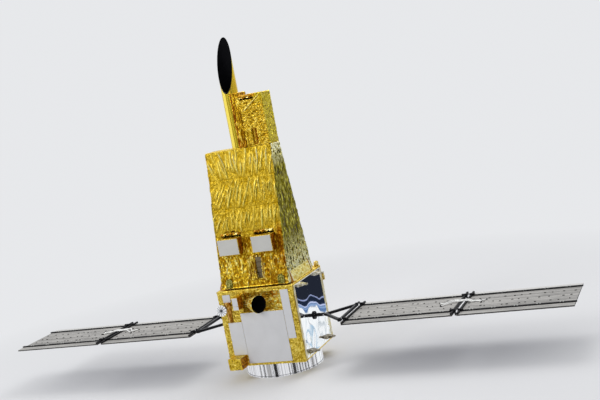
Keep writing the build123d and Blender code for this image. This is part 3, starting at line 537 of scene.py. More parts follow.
def module_tints_and_glints(lead, painted_facet_light, colour):
    """Greener sides, also darker as painted shade, speckled with painted glints towards their head and foot.
    The front's lower part is more orange, most of all in clouds beside the vents and at its right edge."""
    x, height = lead.axis("X"), lead.axis("Z")
    pale = height.span(1.62, 1.12) + height.span(2.40, 2.68)
    patch = lead.noise(lead.place((1, 1, 0.4)), 62.0, 2.0).span(0.62, 0.52) * pale
    # green is the sides' own tint, painted darker than the front as shade.
    green = painted_facet_light.ramp([(0.14, (0.036, 0.027, 0.001)), (0.46, (0.22, 0.185, 0.003)),
                       (0.78, (0.82, 0.75, 0.10))])
    # light is a speckle of painted glints.
    light = painted_facet_light.ramp([(0.25, (0.040, 0.032, 0.001)), (0.33, (0.36, 0.31, 0.02)), (0.39, (1.0, 0.95, 0.34)),
                       (0.50, (1.0, 1.0, 0.74))])
    side = patch.blend(green, light)
    edge = x.span(0.345, 0.395) * height.span(1.24, 1.34) * height.span(1.82, 1.70)
    orange = painted_facet_light.ramp([(0.18, (0.22, 0.07, 0.002)), (0.55, (0.66, 0.34, 0.015)), (0.95, (0.95, 0.66, 0.10))])
    lower = painted_facet_light.ramp([(0.16, (0.36, 0.17, 0.003)), (0.40, (0.82, 0.56, 0.034)), (0.70, (1.0, 0.88, 0.26))])
    cloud = lead.noise(lead.place(), 16.0).span(0.38, 0.58)
    orange_clouds = x.span(0.10, 0.20) * height.span(1.66, 1.56) * cloud
    front = (height.span(BOXES_TOP, 1.64) * (lead.axis("Y", "Normal") < 0)).blend(colour, lower)
    front = (edge | 0.6 * orange_clouds).blend(front, orange)
    sides = lead.sideways()
    (1 - 0.5 * patch * sides).to("Metallic")
    return sides.blend(front, side)


# Painted shade: the faces in the tears and in the upper slot are painted near black where the inside lies in
# shade.
tear_shade = foil("torn_dark", (0.006, 0.004, 0.002), (0.030, 0.016, 0.004), (0.10, 0.06, 0.01), roughness=0.5,
            grain=60.0)
module_foil = foil("module_foil", BROWN, GOLD, PALE_GOLD, roughness=0.28, grain=56.0, fold_shading=0.64, drawn=0.45,
                   tints_and_painted_light=module_tints_and_glints)
foil_blanket("module_blanket", "instrument_housing", 0.0065, 0.0065, module_shape, (module_foil, tear_shade),
             lining=in_tear, lift=module_lap)

# Upper housing and the fairing beside the tube: the same film, crumpled finer and more deeply. A slot is torn
# open below its rolled top edge, its opening painted near black as shade. A straight crease runs down from
# the top right with a painted highlight along it and a painted shadow beside it, and the notch at its foot is
# painted gold on its lit left wall and brown as shade on its right.
SLOT_X, SLOT_Z, UPPER_FRONT = (0.166, 0.336), (3.224, 3.246), -0.215
ROLLED_Z, ROLLED_RIGHT = 3.252, 0.36
NOTCH_X, NOTCH_Y, NOTCH_TOP = (0.245, 0.32), (-0.205, -0.16), 2.91
CREASE_START, CREASE_END, CREASE_WAY = (0.413, 3.262), 3.10, (0.58, 0.81)
FAIRING_EDGE = 0.052  # where the fairing meets the tube


def from_crease(x, z):
    """How far numbers, or leads, are from the crease, positive above it."""
    return CREASE_WAY[1] * (z - CREASE_START[1]) + CREASE_WAY[0] * (CREASE_START[0] - x)


def upper_tints_and_painted_light(lead, painted_facet_light, colour):
    """A greener right side, a brown rolled edge over the slot, painted light and shade in the notch, and a
    painted highlight and painted shadow along the crease.
    """
    x, y, z = (lead.axis(letter) for letter in "XYZ")
    green = painted_facet_light.ramp([(0.18, (0.24, 0.17, 0.001)), (0.52, (0.60, 0.47, 0.005)), (0.92, (0.98, 0.87, 0.11))])
    corner = z.span(3.14, 3.26) * x.span(0.30, 0.38)
    colour = (0.6 * corner | lead.sideways(0.35, 0.85)).blend(colour, green)
    brown = painted_facet_light.ramp([(0.2, (0.24, 0.075, 0.002)), (0.6, (0.70, 0.36, 0.018)), (0.95, (1.0, 0.76, 0.16))])
    rolled = (z > ROLLED_Z) * (x < ROLLED_RIGHT) * (y < UPPER_FRONT + 0.025)
    colour = rolled.blend(colour, brown)
    in_notch = within(x, NOTCH_X) * within(y, NOTCH_Y) * (z < NOTCH_TOP)
    # Painted light and shade: the notch's left wall lit gold, its right side brown in shade.
    notch_light_and_shade = x.span(0.268, 0.262).blend((0.34, 0.11, 0.003), (0.96, 0.62, 0.06))
    colour = in_notch.blend(colour, notch_light_and_shade)
    away = from_crease(x, z)
    on_front = (z > CREASE_END) * (lead.axis("Y", "Normal") < -0.5) * (z < 3.256)
    # crest is a painted highlight on the crease's ridge, and shadow a painted shadow beside it.
    crest = (away.size() < 0.0050) * on_front
    shadow = ((away + 0.0100).size() < 0.0040) * on_front * 0.8
    return shadow.blend(crest.blend(colour, (1.0, 0.84, 0.24)), (0.20, 0.10, 0.002))


def upper_shape(points, normals):
    """Deep fine crumple, and the crease's ridge."""
    x, y, z = points.T
    ridge = np.clip(1 - np.abs(from_crease(x, z)) / 0.009, 0, 1)
    diagonal = 0.007 * ridge * (z > CREASE_END) * (normals[:, 1] < -0.6)
    return 0.0042 * creased(points, 0.034, 2) + 0.0011 * creased(points, 0.016, 6) + diagonal


def in_upper_openings(middles):
    x, y, z = middles.T
    jag = 0.010 * scattered(x, z, (90, 0), 3)
    return within(x, SLOT_X) & (z > SLOT_Z[0] + jag) & (z < SLOT_Z[1] + jag) & (y < UPPER_FRONT + 0.05)


upper_foil = foil("upper_foil", (0.24, 0.11, 0.001), (0.63, 0.39, 0.019), (0.94, 0.72, 0.13), grain=44.0,
                  fold_shading=0.7, tints_and_painted_light=upper_tints_and_painted_light)
foil_blanket("upper_blanket", "upper_housing", 0.006, 0.005, upper_shape, (upper_foil, tear_shade),
             lining=in_upper_openings)


def fairing_seam_shade_and_foot(lead, painted_facet_light, colour):
    """A thin red-brown line of painted shade where the fairing meets the tube, and browner film towards its
    foot.
    """
    red = painted_facet_light.ramp([(0.2, (0.20, 0.035, 0.002)), (0.7, (0.62, 0.22, 0.015)), (1.0, (0.95, 0.6, 0.1))])
    wander = 0.020 * (lead.noise(lead.place((0, 0, 1)), 9.0) - 0.5)
    line = (lead.axis("X") + wander - FAIRING_EDGE).size() < 0.007
    foot = lead.axis("Z").span(2.84, 2.72) * 0.45
    return (line | foot).blend(colour, red)


def fairing_shape(points, normals):
    drawn = points / (1, 1, 4.5)
    return 0.0052 * creased(drawn, 0.030, 12) + 0.0016 * creased(points, 0.030, 13) - 0.0015


fairing_film = foil("fairing_film", (0.26, 0.11, 0.0005), (0.72, 0.44, 0.018), (1.0, 0.78, 0.14), grain=40.0,
                    fold_shading=0.75, tints_and_painted_light=fairing_seam_shade_and_foot)
foil_blanket("fairing_foil", "baffle_fairing", 0.006, 0.004, fairing_shape, (fairing_film,))

# Small foil-wrapped boxes, covers and brackets on the bus and the module, each crumpled by its own size. The
# boxes' sides are painted brown as shade, the hood has a painted highlight down its front, the vent frame's
# top lip is painted dark as shade, and the upper brackets are painted near white as a highlight.
HOOD_HIGHLIGHT_X, RIM_TOP, BRACKETS_MIDDLE = -0.372, 0.803, 0.6


def hood_highlight(lead, painted_facet_light, colour):
    """The hood's painted highlight, a bright streak down its front."""
    wander = 0.014 * (lead.noise(lead.place(), 22.0) - 0.5)
    line = (lead.axis("X") - HOOD_HIGHLIGHT_X + wander).size() < 0.006
    return line.blend(colour, (1.0, 0.66, 0.20))


def white_rim(lead, painted_facet_light, colour):
    """White round the foot of the tracker's mouth."""
    return (lead.axis("Z") < RIM_TOP).blend(colour, (0.86, 0.85, 0.80))


def bracket_highlight(lead, painted_facet_light, colour):
    """The upper brackets painted near white as a highlight, against the lower ones' grey-brown."""
    pale_surface = painted_facet_light.ramp([(0.2, (0.34, 0.30, 0.18)), (0.6, (0.82, 0.80, 0.70)), (0.9, (1.0, 1.0, 0.96))])
    return (lead.axis("Z") > BRACKETS_MIDDLE).blend(colour, pale_surface)


def vent_painted_shade(lead, painted_facet_light, colour):
    """Painted shade on the vent frame: deep brown on its sides and top lip, against its bright front."""
    deep = painted_facet_light.ramp([(0.2, (0.05, 0.016, 0.001)), (0.7, (0.36, 0.15, 0.008)), (1.0, (0.8, 0.5, 0.08))])
    return lead.axis("Z", "Normal").span(0.45, 0.8).blend(painted_side_shade(lead, painted_facet_light, colour), deep)


amber = foil("amber_film", (0.20, 0.055, 0.003), (0.60, 0.29, 0.030), (0.98, 0.72, 0.28), grain=50.0,
             tints_and_painted_light=hood_highlight)
boxed = foil("box_film", (0.34, 0.20, 0.004), (0.88, 0.63, 0.055), (1.0, 0.88, 0.28), grain=48.0,
             tints_and_painted_light=painted_side_shade)
vent_film = foil("vent_film", (0.24, 0.11, 0.003), (0.70, 0.50, 0.050), (1.0, 0.90, 0.40), grain=40.0,
                 fold_shading=0.8, tints_and_painted_light=vent_painted_shade)
shroud_film = foil("shroud_film", (0.44, 0.17, 0.004), (1.0, 0.74, 0.08), (1.0, 0.97, 0.42),
                   at=(0.22, 0.40, 0.66), roughness=0.14, metallic=0.5, grain=16.0, fold_shading=0.75, drawn=2.6,
                   tints_and_painted_light=white_rim)
skirt_film = foil("skirt_film", (0.68, 0.47, 0.030), (1.0, 0.88, 0.30), (1.0, 1.0, 0.66), grain=36.0)
knob_film = foil("knob_film", (0.36, 0.20, 0.010), (0.94, 0.76, 0.24), (1.0, 0.96, 0.70), grain=50.0)
olive = foil("olive_film", (0.11, 0.095, 0.008), (0.34, 0.31, 0.07), (0.62, 0.60, 0.26), grain=50.0)
pale_film = foil("bracket_film", (0.06, 0.045, 0.025), (0.34, 0.30, 0.22), (0.80, 0.78, 0.68), grain=50.0,
                 tints_and_painted_light=bracket_highlight)
FIRST_SEED, INWARDS = 20, 0.2  # film lies a little more inwards than outwards, as a share of its depth
WRAPS = (  # piece, node, cell, depth, crease size, how drawn out upwards, slot, material
    ("corner_box_foil", "corner_box", 0.0055, 0.0030, 0.030, 1, "gold_foil", boxed),
    ("sensor_box_foil", "sensor_box", 0.005, 0.0020, 0.025, 1, "gold_foil", boxed),
    ("sensor_hood_foil", "sensor_hood", 0.005, 0.0035, 0.026, 0.35, "amber_foil", amber),
    ("knob_foil", "corner_knobs", 0.005, 0.0040, 0.024, 1, "gold_foil", knob_film),
    ("skirt_foil", "base_skirts", 0.008, 0.0030, 0.045, 1, "gold_foil", skirt_film),
    ("foot_cover_foil", "foot_covers", 0.0035, 0.0015, 0.030, 1, "olive_foil", olive),
    ("radiator_box_foil", "module_radiator_boxes", 0.006, 0.0025, 0.030, 1, "gold_foil", boxed),
    ("vent_frame_foil", "vent_frame", 0.005, 0.0055, 0.024, 0.3, "gold_foil", vent_film),
    ("hold_down_foil", "hold_down_brackets", 0.0045, 0.0014, 0.034, 1, "bare_metal", pale_film),
)
for seed, (piece, node, cell, depth, size, drawn, slot, material) in enumerate(WRAPS):
    foil_blanket(
        piece, node, cell, depth,
        lambda points, normals: depth * (creased(points * (1, 1, drawn), size, FIRST_SEED + seed) - INWARDS),
        (material,),
    )

# Star tracker's shroud: gold film in loose pleats along a cone, white round its foot. Only the
# outside is pleated, so that the film stays off the black lining.
MOUTH, MOUTH_AXIS, PLEAT = np.array((0.056, -0.520, 0.899)), np.array((0.866, -0.5, 0.0)), 0.0050


def shroud_shape(points, normals):
    along = np.outer(points @ MOUTH_AXIS, MOUTH_AXIS)
    spokes = points - MOUTH - np.outer((points - MOUTH) @ MOUTH_AXIS, MOUTH_AXIS)
    outside = np.sum(spokes * normals, axis=1) > 0
    pleats = PLEAT * (creased(points - 0.75 * along, 0.034, 23) - INWARDS)
    return np.where(outside, pleats, -0.0010)


foil_blanket("tracker_shroud_foil", "star_tracker_shroud", 0.004, PLEAT, shroud_shape, (shroud_film,))


# Torn edges: ragged flaps of film hang over the dark openings above the radiator boxes and over the slot, and
# brown film peels up beside the left box
def placed(name, points, faces, materials, slot, body, sign=1, marks=None):
    """A piece from its points and faces for the right side, or mirrored for the left. It rides on the body if
    one is named."""
    shape = [(sign * x, y, z) for x, y, z in points], [face[::sign] for face in faces]
    made = mesh_piece(name, *shape, *materials)
    if marks:
        made.data.polygons.foreach_set("material_index", marks)
    if body:
        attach(made, body)
    return made


def skinned(start, count, rings, faces):
    """Closes the rings of corners from start on, count to a ring, and says how many faces that takes."""
    last = start + count * (rings - 1)
    for low in range(start, last, count):
        for here in range(count):
            there = (here + 1) % count
            faces.append((low + here, low + there, low + count + there, low + count + here))
    faces.append(tuple(start + count - 1 - k for k in range(count)))
    faces.append(tuple(last + k for k in range(count)))
    return count * (rings - 1) + 2


FLAP_THICKNESS = 0.0012
PEELED = (  # left foot, right foot, tip, as x, how far it stands out, z
    ((-0.215, 0.002, 1.752), (-0.120, 0.004, 1.735), (-0.150, 0.052, 1.772)),
    ((-0.120, 0.004, 1.735), (-0.040, 0.002, 1.700), (-0.088, 0.046, 1.742)),
    ((-0.300, 0.002, 1.742), (-0.215, 0.002, 1.752), (-0.240, 0.026, 1.766)),
)
FLAPS_TOP, FLAPS_FRONT = 1.736, module_front(1.72) - 0.004
FLAPS = (  # left, right, top, front face, flaps, longest
    (*TEARS[0], FLAPS_TOP, FLAPS_FRONT, 7, 0.036), (*TEARS[1], FLAPS_TOP, FLAPS_FRONT, 7, 0.034),
    (*SLOT_X, 3.254, UPPER_FRONT - 0.003, 6, 0.013),
)
TORN = (0.8, 0.3, -0.35, -0.9)  # a flap's torn corners, from its middle, as a share of half its width
draw = np.random.default_rng(8)
outlines = [(1, [(x, module_front(z) - 0.003 - out, z) for x, out, z in corners]) for corners in PEELED]
for left, right, top, front, count, longest in FLAPS:
    for index in range(count):
        middle, half = left + (right - left) * (index + 0.5) / count, 0.5 * (right - left) / count
        half *= draw.uniform(0.9, 1.4)
        corners = [(middle - half, front, top), (middle + half, front, top)]
        for share in TORN:
            drop = longest * draw.uniform(0.15, 1.0)
            x = middle + half * (share + draw.uniform(-0.15, 0.15))
            corners.append((x, front - 0.3 * drop, top - drop))
        outlines.append((draw.integers(0, 2), corners))
points, faces, marks = [], [], []
for film, corners in outlines:
    start = len(points)
    points += [(x, y + depth, z) for depth in (0, FLAP_THICKNESS) for x, y, z in corners]
    marks += [film] * skinned(start, len(corners), 2, faces)
flap_gold = foil("flap_film", BROWN, (0.98, 0.80, 0.22), (1.0, 1.0, 0.80), grain=60.0, fold_shading=0)
flap_brown = foil("flap_brown", (0.10, 0.03, 0.001), (0.46, 0.19, 0.008), (0.90, 0.60, 0.10), grain=50.0,
                  fold_shading=0)
placed("torn_flaps", points, faces, (flap_gold, flap_brown), "gold_foil", "root_structure", marks=marks)


# Everything else keeps its CAD form and gets its real finish: matt paint on the radiators, black linings, and
# dull metal on the vents, feet and lug
def dress(material, *pieces):
    """Gives CAD nodes their finish."""
    for piece in pieces:
        nodes[piece].data.materials.clear()
        nodes[piece].data.materials.append(material)


def painted(name, colour, roughness, mottle, grain, bump=0.05, sheen=0.5, metallic=0.0):
    """Paint, tape or metal with a faint mottle."""
    made, lead = finish(name, colour, roughness, metallic, sheen)
    cloud = lead.noise(lead.place(), grain, 4.0)
    cloud.span(0.3, 0.7).blend([c * (1 - mottle) for c in colour], colour).to("Base Color")
    cloud.raises(bump, 0.002)
    return made


dress(painted("radiator_paint", (0.60, 0.60, 0.61), 0.45, 0.06, 7.0),
      "front_radiators", "back_radiators", "white_patches")
dress(painted("module_radiator_paint", (0.50, 0.495, 0.465), 0.45, 0.07, 9.0), "module_radiator_faces")
dress(painted("black_lining", (0.004, 0.004, 0.005), 0.9, 0.4, 25.0, 0.2, sheen=0.05),
      "baffle_liner", "star_tracker_liner")
dress(painted("vent_paint", (0.16, 0.12, 0.055), 0.5, 0.3, 30.0), "vent_plates", "module_feet")
dress(painted("lug_metal", (0.30, 0.29, 0.20), 0.35, 0.4, 30.0, 0.3), "antenna_stub")

# Baffle tube: smooth gold film drawn round it, with long streaks, a painted highlight down its left between
# two brown lines, and painted shade lower down on its right. The cut rim is black.
TUBE_X, TUBE_Y = 0.001, -0.085
HIGHLIGHT_BAND, BROWN_LINES, LINE = -2.00, (-2.31, -1.70), 0.035  # round the tube, in radians from +X
tube_film, lead = finish("tube_film", (0.90, 0.66, 0.06), 0.15, 1.0)
turn = lead.math("ARCTAN2", lead.axis("Y") - TUBE_Y, lead.axis("X") - TUBE_X)
fine = turn.ripple(22.0)
drawn = turn.ripple(4.0, 1.0) * 0.6 + fine * 0.4 + 0.12 * lead.noise(lead.place((9, 9, 2.2)), 3.0)
streaks = ((0.0, (0.66, 0.42, 0.008)), (0.5, (1.0, 0.75, 0.040)), (1.0, (1.0, 0.90, 0.18)))
gold = drawn.span(0.34, 0.72).ramp(streaks)
# Painted highlight: a bright band down the tube's left.
highlight_band = (turn - HIGHLIGHT_BAND).size().span(0.30, 0.22)
gold = highlight_band.blend(gold, (1.0, 0.80, 0.10))
for line in BROWN_LINES:
    gold = ((turn - line).size() < LINE).blend(gold, (0.40, 0.19, 0.006))
shaded = 0.6 * lead.axis("Z").span(3.74, 3.42) * turn.span(-1.50, -1.10)
gold = shaded.blend(gold, (0.60, 0.32, 0.008))
(lead.axis("Z", "Normal") > 0.12).blend(gold, (0.004, 0.004, 0.004)).to("Base Color")
(1 - 0.6 * highlight_band).to("Metallic")
(0.12 + 0.10 * fine).to("Roughness")
drawn.raises(0.25, 0.006)
dress(tube_film, "telescope_baffle")

# Gussets: triangular plates that end the skirts at the module's foot, covered in amber film, with white tape
# over their sloping edges
gusset_film, lead = finish("gusset_tape", (0.7, 0.68, 0.6), 0.5)
slope = lead.axis("Z", "Normal") * (lead.axis("Y", "Normal").size() < 0.5)
slope.span(0.10, 0.20).blend((0.46, 0.22, 0.015), (0.80, 0.78, 0.68)).to("Base Color")
dress(gusset_film, "base_gussets")

# Radial antenna: twelve white painted petals with gaps between them, fixed to a grey disc with a black hub,
# which stands on its lug at the bus's front left edge
ANTENNA = Vector((-0.434, -0.529, 0.865))
PETALS, FIRST_PETAL, GAP = 12, 0.3, 0.0070  # the first petal's place, in petals from +X
PETAL_IN, PETAL_OUT, CROWN = 0.017, 0.069, 0.0015
PETAL_HALF = ((PETAL_IN, 0.6), (0.040, 1.0), (0.062, 1.0), (PETAL_OUT, 0.72))  # reach, share of the width
PETAL_FRONT, PETAL_BACK = 0.0060, 0.0035
HUB_RADIUS, DISC_RADIUS = 0.0085, 0.060


def turned(base, axis, profile, sides, points, faces):
    """Adds a turned piece: profile gives how far along the axis each edge is, and its radius."""
    start, across = len(points), axis.orthogonal().normalized()
    for along, radius in profile:
        points += circle(base + axis * along, across, axis.cross(across), radius, sides)
    return skinned(start, sides, len(profile), faces)


points, faces = [], []
disc = ((0, DISC_RADIUS), (0.003, DISC_RADIUS), (0.004, DISC_RADIUS - 0.002))
hub = ((0.003, HUB_RADIUS), (0.014, HUB_RADIUS), (0.017, 0.006))
marks = [1] * turned(ANTENNA, -Y, disc, 48, points, faces)
marks += [2] * turned(ANTENNA, -Y, hub, 16, points, faces)
outline = [*PETAL_HALF, *((reach, -share) for reach, share in PETAL_HALF[::-1])]
for petal in range(PETALS):
    start = len(points)
    aim = tau * (petal + FIRST_PETAL) / PETALS
    out, wide = Vector((cos(aim), 0, sin(aim))), Vector((-sin(aim), 0, cos(aim)))
    for depth in (PETAL_FRONT, PETAL_BACK):
        for reach, share in outline:
            aside = share * (reach * sin(pi / PETALS) - GAP / 2)
            crown = depth + CROWN * sin(pi * (reach - PETAL_IN) / (PETAL_OUT - PETAL_IN))
            points.append(ANTENNA + out * reach + wide * aside - Y * crown)
    marks += [0] * skinned(start, len(outline), 2, faces)
petal_paint = painted("antenna_paint", (0.88, 0.89, 0.90), 0.4, 0.08, 60.0)
disc_grey = painted("antenna_grey", (0.20, 0.21, 0.23), 0.5, 0.2, 60.0)
hub_black = painted("antenna_black", (0.01, 0.014, 0.014), 0.5, 0.3, 60.0, sheen=0.2)
antenna = placed("antenna_petals", points, faces, (petal_paint, disc_grey, hub_black), "antenna_white",
                 "root_structure", marks=marks)
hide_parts("radial_antenna")

# Separation ring: turned and polished aluminium under the bus, with fine upright streaks, painted reflections
# in its colour besides the real ones of the flags. The clamp's lip is drawn as a thin line near its foot.
LIP_Z = 0.0135
ring_metal, lead = finish("turned_ring", (0.80, 0.80, 0.82), 0.10, 1.0)
turn = lead.math("ARCTAN2", lead.axis("Y"), lead.axis("X"))
fine = turn.ripple(26.0)
# Painted reflection: pale and grey upright streaks in the ring's colour.
metal = fine.span(0.36, 0.50).blend((0.62, 0.62, 0.64), (0.93, 0.93, 0.94))
((lead.axis("Z") - LIP_Z).size() < 0.0022).blend(metal, (0.30, 0.30, 0.32)).to("Base Color")
(0.05 + 0.06 * fine).to("Roughness")
dress(ring_metal, "separation_ring")

# Side films: silvered film stretched over the bus's sides, slightly wavy and blotched. Its front, back and
# top edges are stuck down with pale gold tape.
FILM_IN, FILM_OUT, FILM_HALF, FILM_LOW, FILM_HIGH = 0.4875, 0.4905, 0.445, 0.182, 1.060
TAPE_FRONT, TAPE_BACK, TAPE_TOP = -0.405, 0.388, FILM_HIGH - 0.004
WAVE, WAVE_WIDE, WAVE_TALL, TAUT = 0.001, 0.41, 0.52, 0.03  # it is taut this near to its edges
film_metal, lead = finish("silver_film", (0.93, 0.94, 0.96), 0.04, 1.0)
y, z = lead.axis("Y"), lead.axis("Z")
frayed = y + 0.020 * (lead.noise(lead.place(), 30.0, 3.0) - 0.5)
taped = (frayed < TAPE_FRONT) | (frayed > TAPE_BACK) | (z > TAPE_TOP)
mottle = lead.noise(lead.place((1, 1, 0.4)), 46.0, 3.0)
tape = mottle.span(0.38, 0.62).ramp([(0.0, (0.42, 0.30, 0.05)), (0.30, (0.80, 0.70, 0.34)),
                                     (1.0, (0.86, 0.84, 0.70))])
where = z.span(0.42, 0.24) * y.span(-0.12, -0.34) + y.span(0.26, 0.36) * z.span(0.55, 0.4)
blotch = mottle.span(0.56, 0.60) * where
metal = blotch.blend((0.93, 0.94, 0.96), (0.50, 0.44, 0.16))
taped.blend(metal, tape).to("Base Color")
(0.03 + 0.30 * (taped | blotch)).to("Roughness")
(1 - 0.8 * taped).to("Metallic")
CELLS = 90  # to a row and to a column
places = [-FILM_HALF + 2 * FILM_HALF * column / CELLS for column in range(CELLS + 1)]
points, faces = [], []
for row in range(CELLS + 1):
    z = FILM_LOW + (FILM_HIGH - FILM_LOW) * row / CELLS
    points += [(FILM_IN, y, z) for y in places]
    for y in reversed(places):
        rim = min(1.0, min(FILM_HALF - abs(y), z - FILM_LOW, FILM_HIGH - z) / TAUT)
        wave = 0.5 * cos(tau * (y + 0.02) / WAVE_WIDE) * sin(tau * (z - 0.80) / WAVE_TALL)
        wave += 0.16 * noise.noise((y / 0.12, z / 0.24, 2.0))
        points.append((FILM_OUT + WAVE * wave * rim, y, z))
skinned(0, 2 * len(places), len(places), faces)
faces = [face[::-1] for face in faces]
faces += [tuple(len(points) + corner for corner in face[::-1]) for face in faces]
points += [(-x, y, z) for x, y, z in points]
film = placed("mirror_films", points, faces, (film_metal,), "silver_film", "root_structure")
for face in film.data.polygons:
    face.use_smooth = abs(face.normal.x) > 0.5
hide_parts("side_films")

# Wing frames: spars, yokes and fittings of black composite, greyer on the yokes' upper faces, a painted
# highlight where they face up. Bare metal pins go through the hinges, and a ring of bolts holds each drive's
# flange.
composite = painted("black_composite", (0.008, 0.008, 0.010), 0.5, 0.4, 60.0, 0.1, sheen=0.12)
yoke_composite, lead = finish("yoke_composite", (0.01, 0.01, 0.012), 0.4, sheen=0.15)
# Painted highlight: grey in patches on the yoke's upward faces.
tints_and_painted_light = lead.axis("Z", "Normal").span(0.6, 0.9) * lead.noise(lead.place((3, 3, 1)), 12.0, 3.0).span(0.25, 0.75)
tints_and_painted_light.blend((0.008, 0.008, 0.010), (0.12, 0.12, 0.13)).to("Base Color")
pin_metal = painted("pin_metal", (0.55, 0.55, 0.57), 0.3, 0.3, 90.0, metallic=1.0)
dress(composite, "drive_flanges")
SPAR_Y, EAR_FACE = 0.308, 0.017
FLANGE_FACE, DRIVE_Z, BOLT_CIRCLE, BOLTS = 0.5045, 0.580, 0.038, 8
PINS = (  # piece, body, x, z, places of y, how far the pin's end is from there, radius
    ("fold_pins", "root", 0.615, DRIVE_Z, (0.0,), 0.027, 0.0095),
    ("yoke_pins", "yoke", 0.952, 0.605, (-SPAR_Y, SPAR_Y), EAR_FACE, 0.0080),
    ("panel_pins", "inner", 2.288, 0.535, (-SPAR_Y, SPAR_Y), EAR_FACE, 0.0075),
)
PIN_HEAD = ((0, 1), (0.0022, 1), (0.003, 0.8), (0.003, 0.5), (0.0045, 0.4))  # along, share of the radius
BOLT = ((0, 0.0045), (0.003, 0.0045), (0.004, 0.0032))
for side, sign in (("right", 1), ("left", -1)):
    dress(composite, f"root_fitting_{side}", f"inner_frame_{side}", f"outer_frame_{side}")
    dress(yoke_composite, f"yoke_{side}")
    for piece, body, x, z, places, face, radius in PINS:
        points, faces = [], []
        profile = [(along, radius * share) for along, share in PIN_HEAD]
        for y in places:
            for way in (-1, 1):
                turned(Vector((x, y + way * face, z)), Y * way, profile, 16, points, faces)
        placed(f"{piece}_{side}", points, faces, (pin_metal,), "bare_metal", f"{side}_{body}", sign)
    points, faces = [], []
    for spot in circle(Vector((FLANGE_FACE, 0, DRIVE_Z)), Y, Z, BOLT_CIRCLE, BOLTS, 0.5):
        turned(spot, X, BOLT, 6, points, faces)
    placed(f"flange_bolts_{side}", points, faces, (pin_metal,), "bare_metal", "root_structure", sign)

# Panels: pale grey-brown composite backs with small black clips and wires along them, a dark bonded edge, a
# pale strip along the rear painted as a highlight, and pale clamps on the spars. The other side has dark
# cells in silver-lined strings. White cables loop over the hinge between the panels.
SPANS = {"inner": (0.976, 2.262), "outer": (2.314, 3.555)}
BACK_FACE, SPAR_FACE, REAR_HIGHLIGHT = 0.565, 0.577, 0.335
CELL_WIDE, CELL_LONG = 0.020, 0.035
CLIP_ROWS, CLIPS, CLIP_MARGIN = (-0.165, -0.015, 0.150), 11, 0.07
SHORTEST, LONGEST, CLIP_WIDE, CLIP_TALL = 0.012, 0.028, 0.010, 0.006
CABLE_TIE = (0.020, 0.016, 0.013)
CLAMPS, CLAMP_MARGIN, CLAMP_PAIR, CLAMP = 5, 0.14, 0.016, (0.012, 0.026, 0.008)
WIRE, CABLE = 0.0013, 0.0060  # radii
panel_back, lead = finish("panel_back", (0.36, 0.345, 0.325), 0.6)
lines = lead.noise(lead.place((0.9, 62, 1)), 1.0, 4.0, 0.6)
cloud = lead.noise(lead.place(), 5.0, 3.0)
back = (lines * 0.85 + cloud * 0.15).span(0.34, 0.62).blend((0.11, 0.105, 0.10), (0.48, 0.465, 0.44))
# Painted highlight: the strip along the panel's rear edge is paler.
back = (lead.axis("Y") > REAR_HIGHLIGHT).blend(back, (0.60, 0.59, 0.57))
(lead.axis("Z") < BACK_FACE - 0.001).blend(back, (0.020, 0.018, 0.015)).to("Base Color")
lines.raises(0.15, 0.001)
solar_cell, lead = finish("solar_cell", (0.012, 0.018, 0.06), 0.30, coat=0.2)
x, y = lead.axis("X"), lead.axis("Y")
seam = (x.math("PINGPONG", x, CELL_WIDE) < 0.0008) | (y.math("PINGPONG", y, CELL_LONG) < 0.0010)
shade = lead.noise(lead.place(), 3.0).span(0.3, 0.7).blend((0.008, 0.012, 0.045), (0.018, 0.026, 0.085))
seam.blend(shade, (0.36, 0.37, 0.40)).to("Base Color")


def stud(spot, size, points, faces):
    """Adds a small block with a drawn-in top, given the middle of its foot and its size."""
    start = len(points)
    for half, level in ((0.5, 0.0), (0.5, 0.6), (0.325, 1.0)):
        for along, across in ((-half, -half), (half, -half), (half, half), (-half, half)):
            shares = (along, across, level)
            points.append([at + share * length for at, share, length in zip(spot, shares, size)])
    skinned(start, 4, 3, faces)


def strand(path, radius, points, faces, sides=8):
    """Adds a round cable along a smooth line through the path's points."""
    ends = [Vector(spot) for spot in (path[0], *path, path[-1])]
    line = []
    for before, here, there, after in zip(ends, ends[1:], ends[2:], ends[3:]):
        slope, bend = there - before, 2 * before - 5 * here + 4 * there - after
        twist = 3 * here - before - 3 * there + after
        for t in (step / 6 for step in range(6)):
            line.append(0.5 * (2 * here + slope * t + bend * t * t + twist * t ** 3))
    line.append(ends[-1])
    start = len(points)
    for last, spot, following in zip(line[:1] + line, line, line[1:] + line[-1:]):
        way = (following - last).normalized()
        across = way.cross(Z).normalized()
        points += circle(spot, across, way.cross(across), radius, sides)
    skinned(start, sides, len(line), faces)


HARNESS = (  # each cable's points
    ((2.010, 0.075, 0.572), (2.075, 0.020, 0.575), (2.130, 0.090, 0.580), (2.200, 0.105, 0.584),
     (2.262, 0.060, 0.586), (2.288, 0.045, 0.590), (2.330, 0.030, 0.586), (2.400, 0.050, 0.580),
     (2.470, 0.020, 0.575), (2.540, 0.085, 0.572)),
    ((2.050, -0.060, 0.572), (2.120, 0.005, 0.578), (2.180, 0.045, 0.586), (2.250, 0.015, 0.590),
     (2.288, 0.020, 0.592), (2.335, 0.065, 0.588), (2.390, 0.000, 0.582), (2.450, 0.045, 0.576),
     (2.500, -0.020, 0.572)),
    ((2.150, 0.150, 0.572), (2.205, 0.075, 0.580), (2.255, 0.085, 0.586), (2.288, 0.072, 0.588),
     (2.345, 0.095, 0.584), (2.410, 0.020, 0.578), (2.480, 0.070, 0.572)),
)
clip_black = painted("clip_black", (0.012, 0.012, 0.013), 0.5, 0.3, 80.0, sheen=0.2)
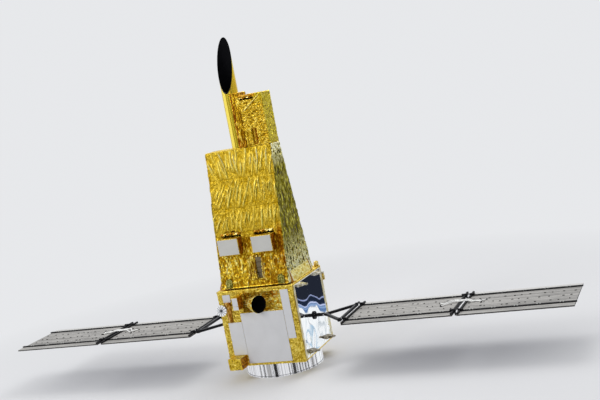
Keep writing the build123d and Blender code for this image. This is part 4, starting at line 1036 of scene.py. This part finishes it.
clamp_metal = painted("clamp_metal", (0.50, 0.50, 0.48), 0.4, 0.4, 80.0)
cable_white = painted("harness_white", (0.92, 0.92, 0.90), 0.5, 0.06, 120.0)
wire_grey = painted("wire_grey", (0.62, 0.61, 0.58), 0.5, 0.10, 120.0)
draw = np.random.default_rng(11)
fittings = {}
for panel, (near, far) in SPANS.items():
    clips, wires, clamps = ([], []), ([], []), ([], [])
    for row in CLIP_ROWS:
        wire = []
        for index in range(CLIPS):
            share = (index + draw.uniform(-0.4, 0.4)) / (CLIPS - 1)
            x = near + CLIP_MARGIN + (far - near - 2 * CLIP_MARGIN) * share
            x = min(max(x, near + 0.05), far - 0.05)
            y = row + draw.uniform(-0.016, 0.016)
            stud((x, y, BACK_FACE), (draw.uniform(SHORTEST, LONGEST), CLIP_WIDE, CLIP_TALL), *clips)
            wire.append((x, y, BACK_FACE + WIRE))
        strand(wire, WIRE, *wires, 6)
    for path in HARNESS:
        x, y, _ = path[0] if panel == "inner" else path[-1]
        stud((x, y, BACK_FACE), CABLE_TIE, *clips)
    for row in (-SPAR_Y, SPAR_Y):
        for index in range(CLAMPS):
            x = near + CLAMP_MARGIN + (far - near - 2 * CLAMP_MARGIN) * index / (CLAMPS - 1)
            for offset in (-CLAMP_PAIR, CLAMP_PAIR):
                stud((x + offset, row, SPAR_FACE - 0.001), CLAMP, *clamps)
    fittings[panel] = (
        ("clips", clips, clip_black, "matte_black"), ("wires", wires, wire_grey, "white_tape"),
        ("clamps", clamps, clamp_metal, "bare_metal"),
    )
points, faces = [], []
for path in HARNESS:
    strand(path, CABLE, points, faces)
for side, sign in (("right", 1), ("left", -1)):
    for panel in SPANS:
        dress(panel_back, f"{panel}_panel_{side}")
        dress(solar_cell, f"{panel}_cells_{side}")
        for kind, shape, material, slot in fittings[panel]:
            placed(f"{panel}_{kind}_{side}", *shape, (material,), slot, f"{side}_{panel}", sign)
    harness = placed(f"harness_{side}", points, faces, (cable_white,), "white_tape", None, sign)
    harness.data.shade_smooth()
    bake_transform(harness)
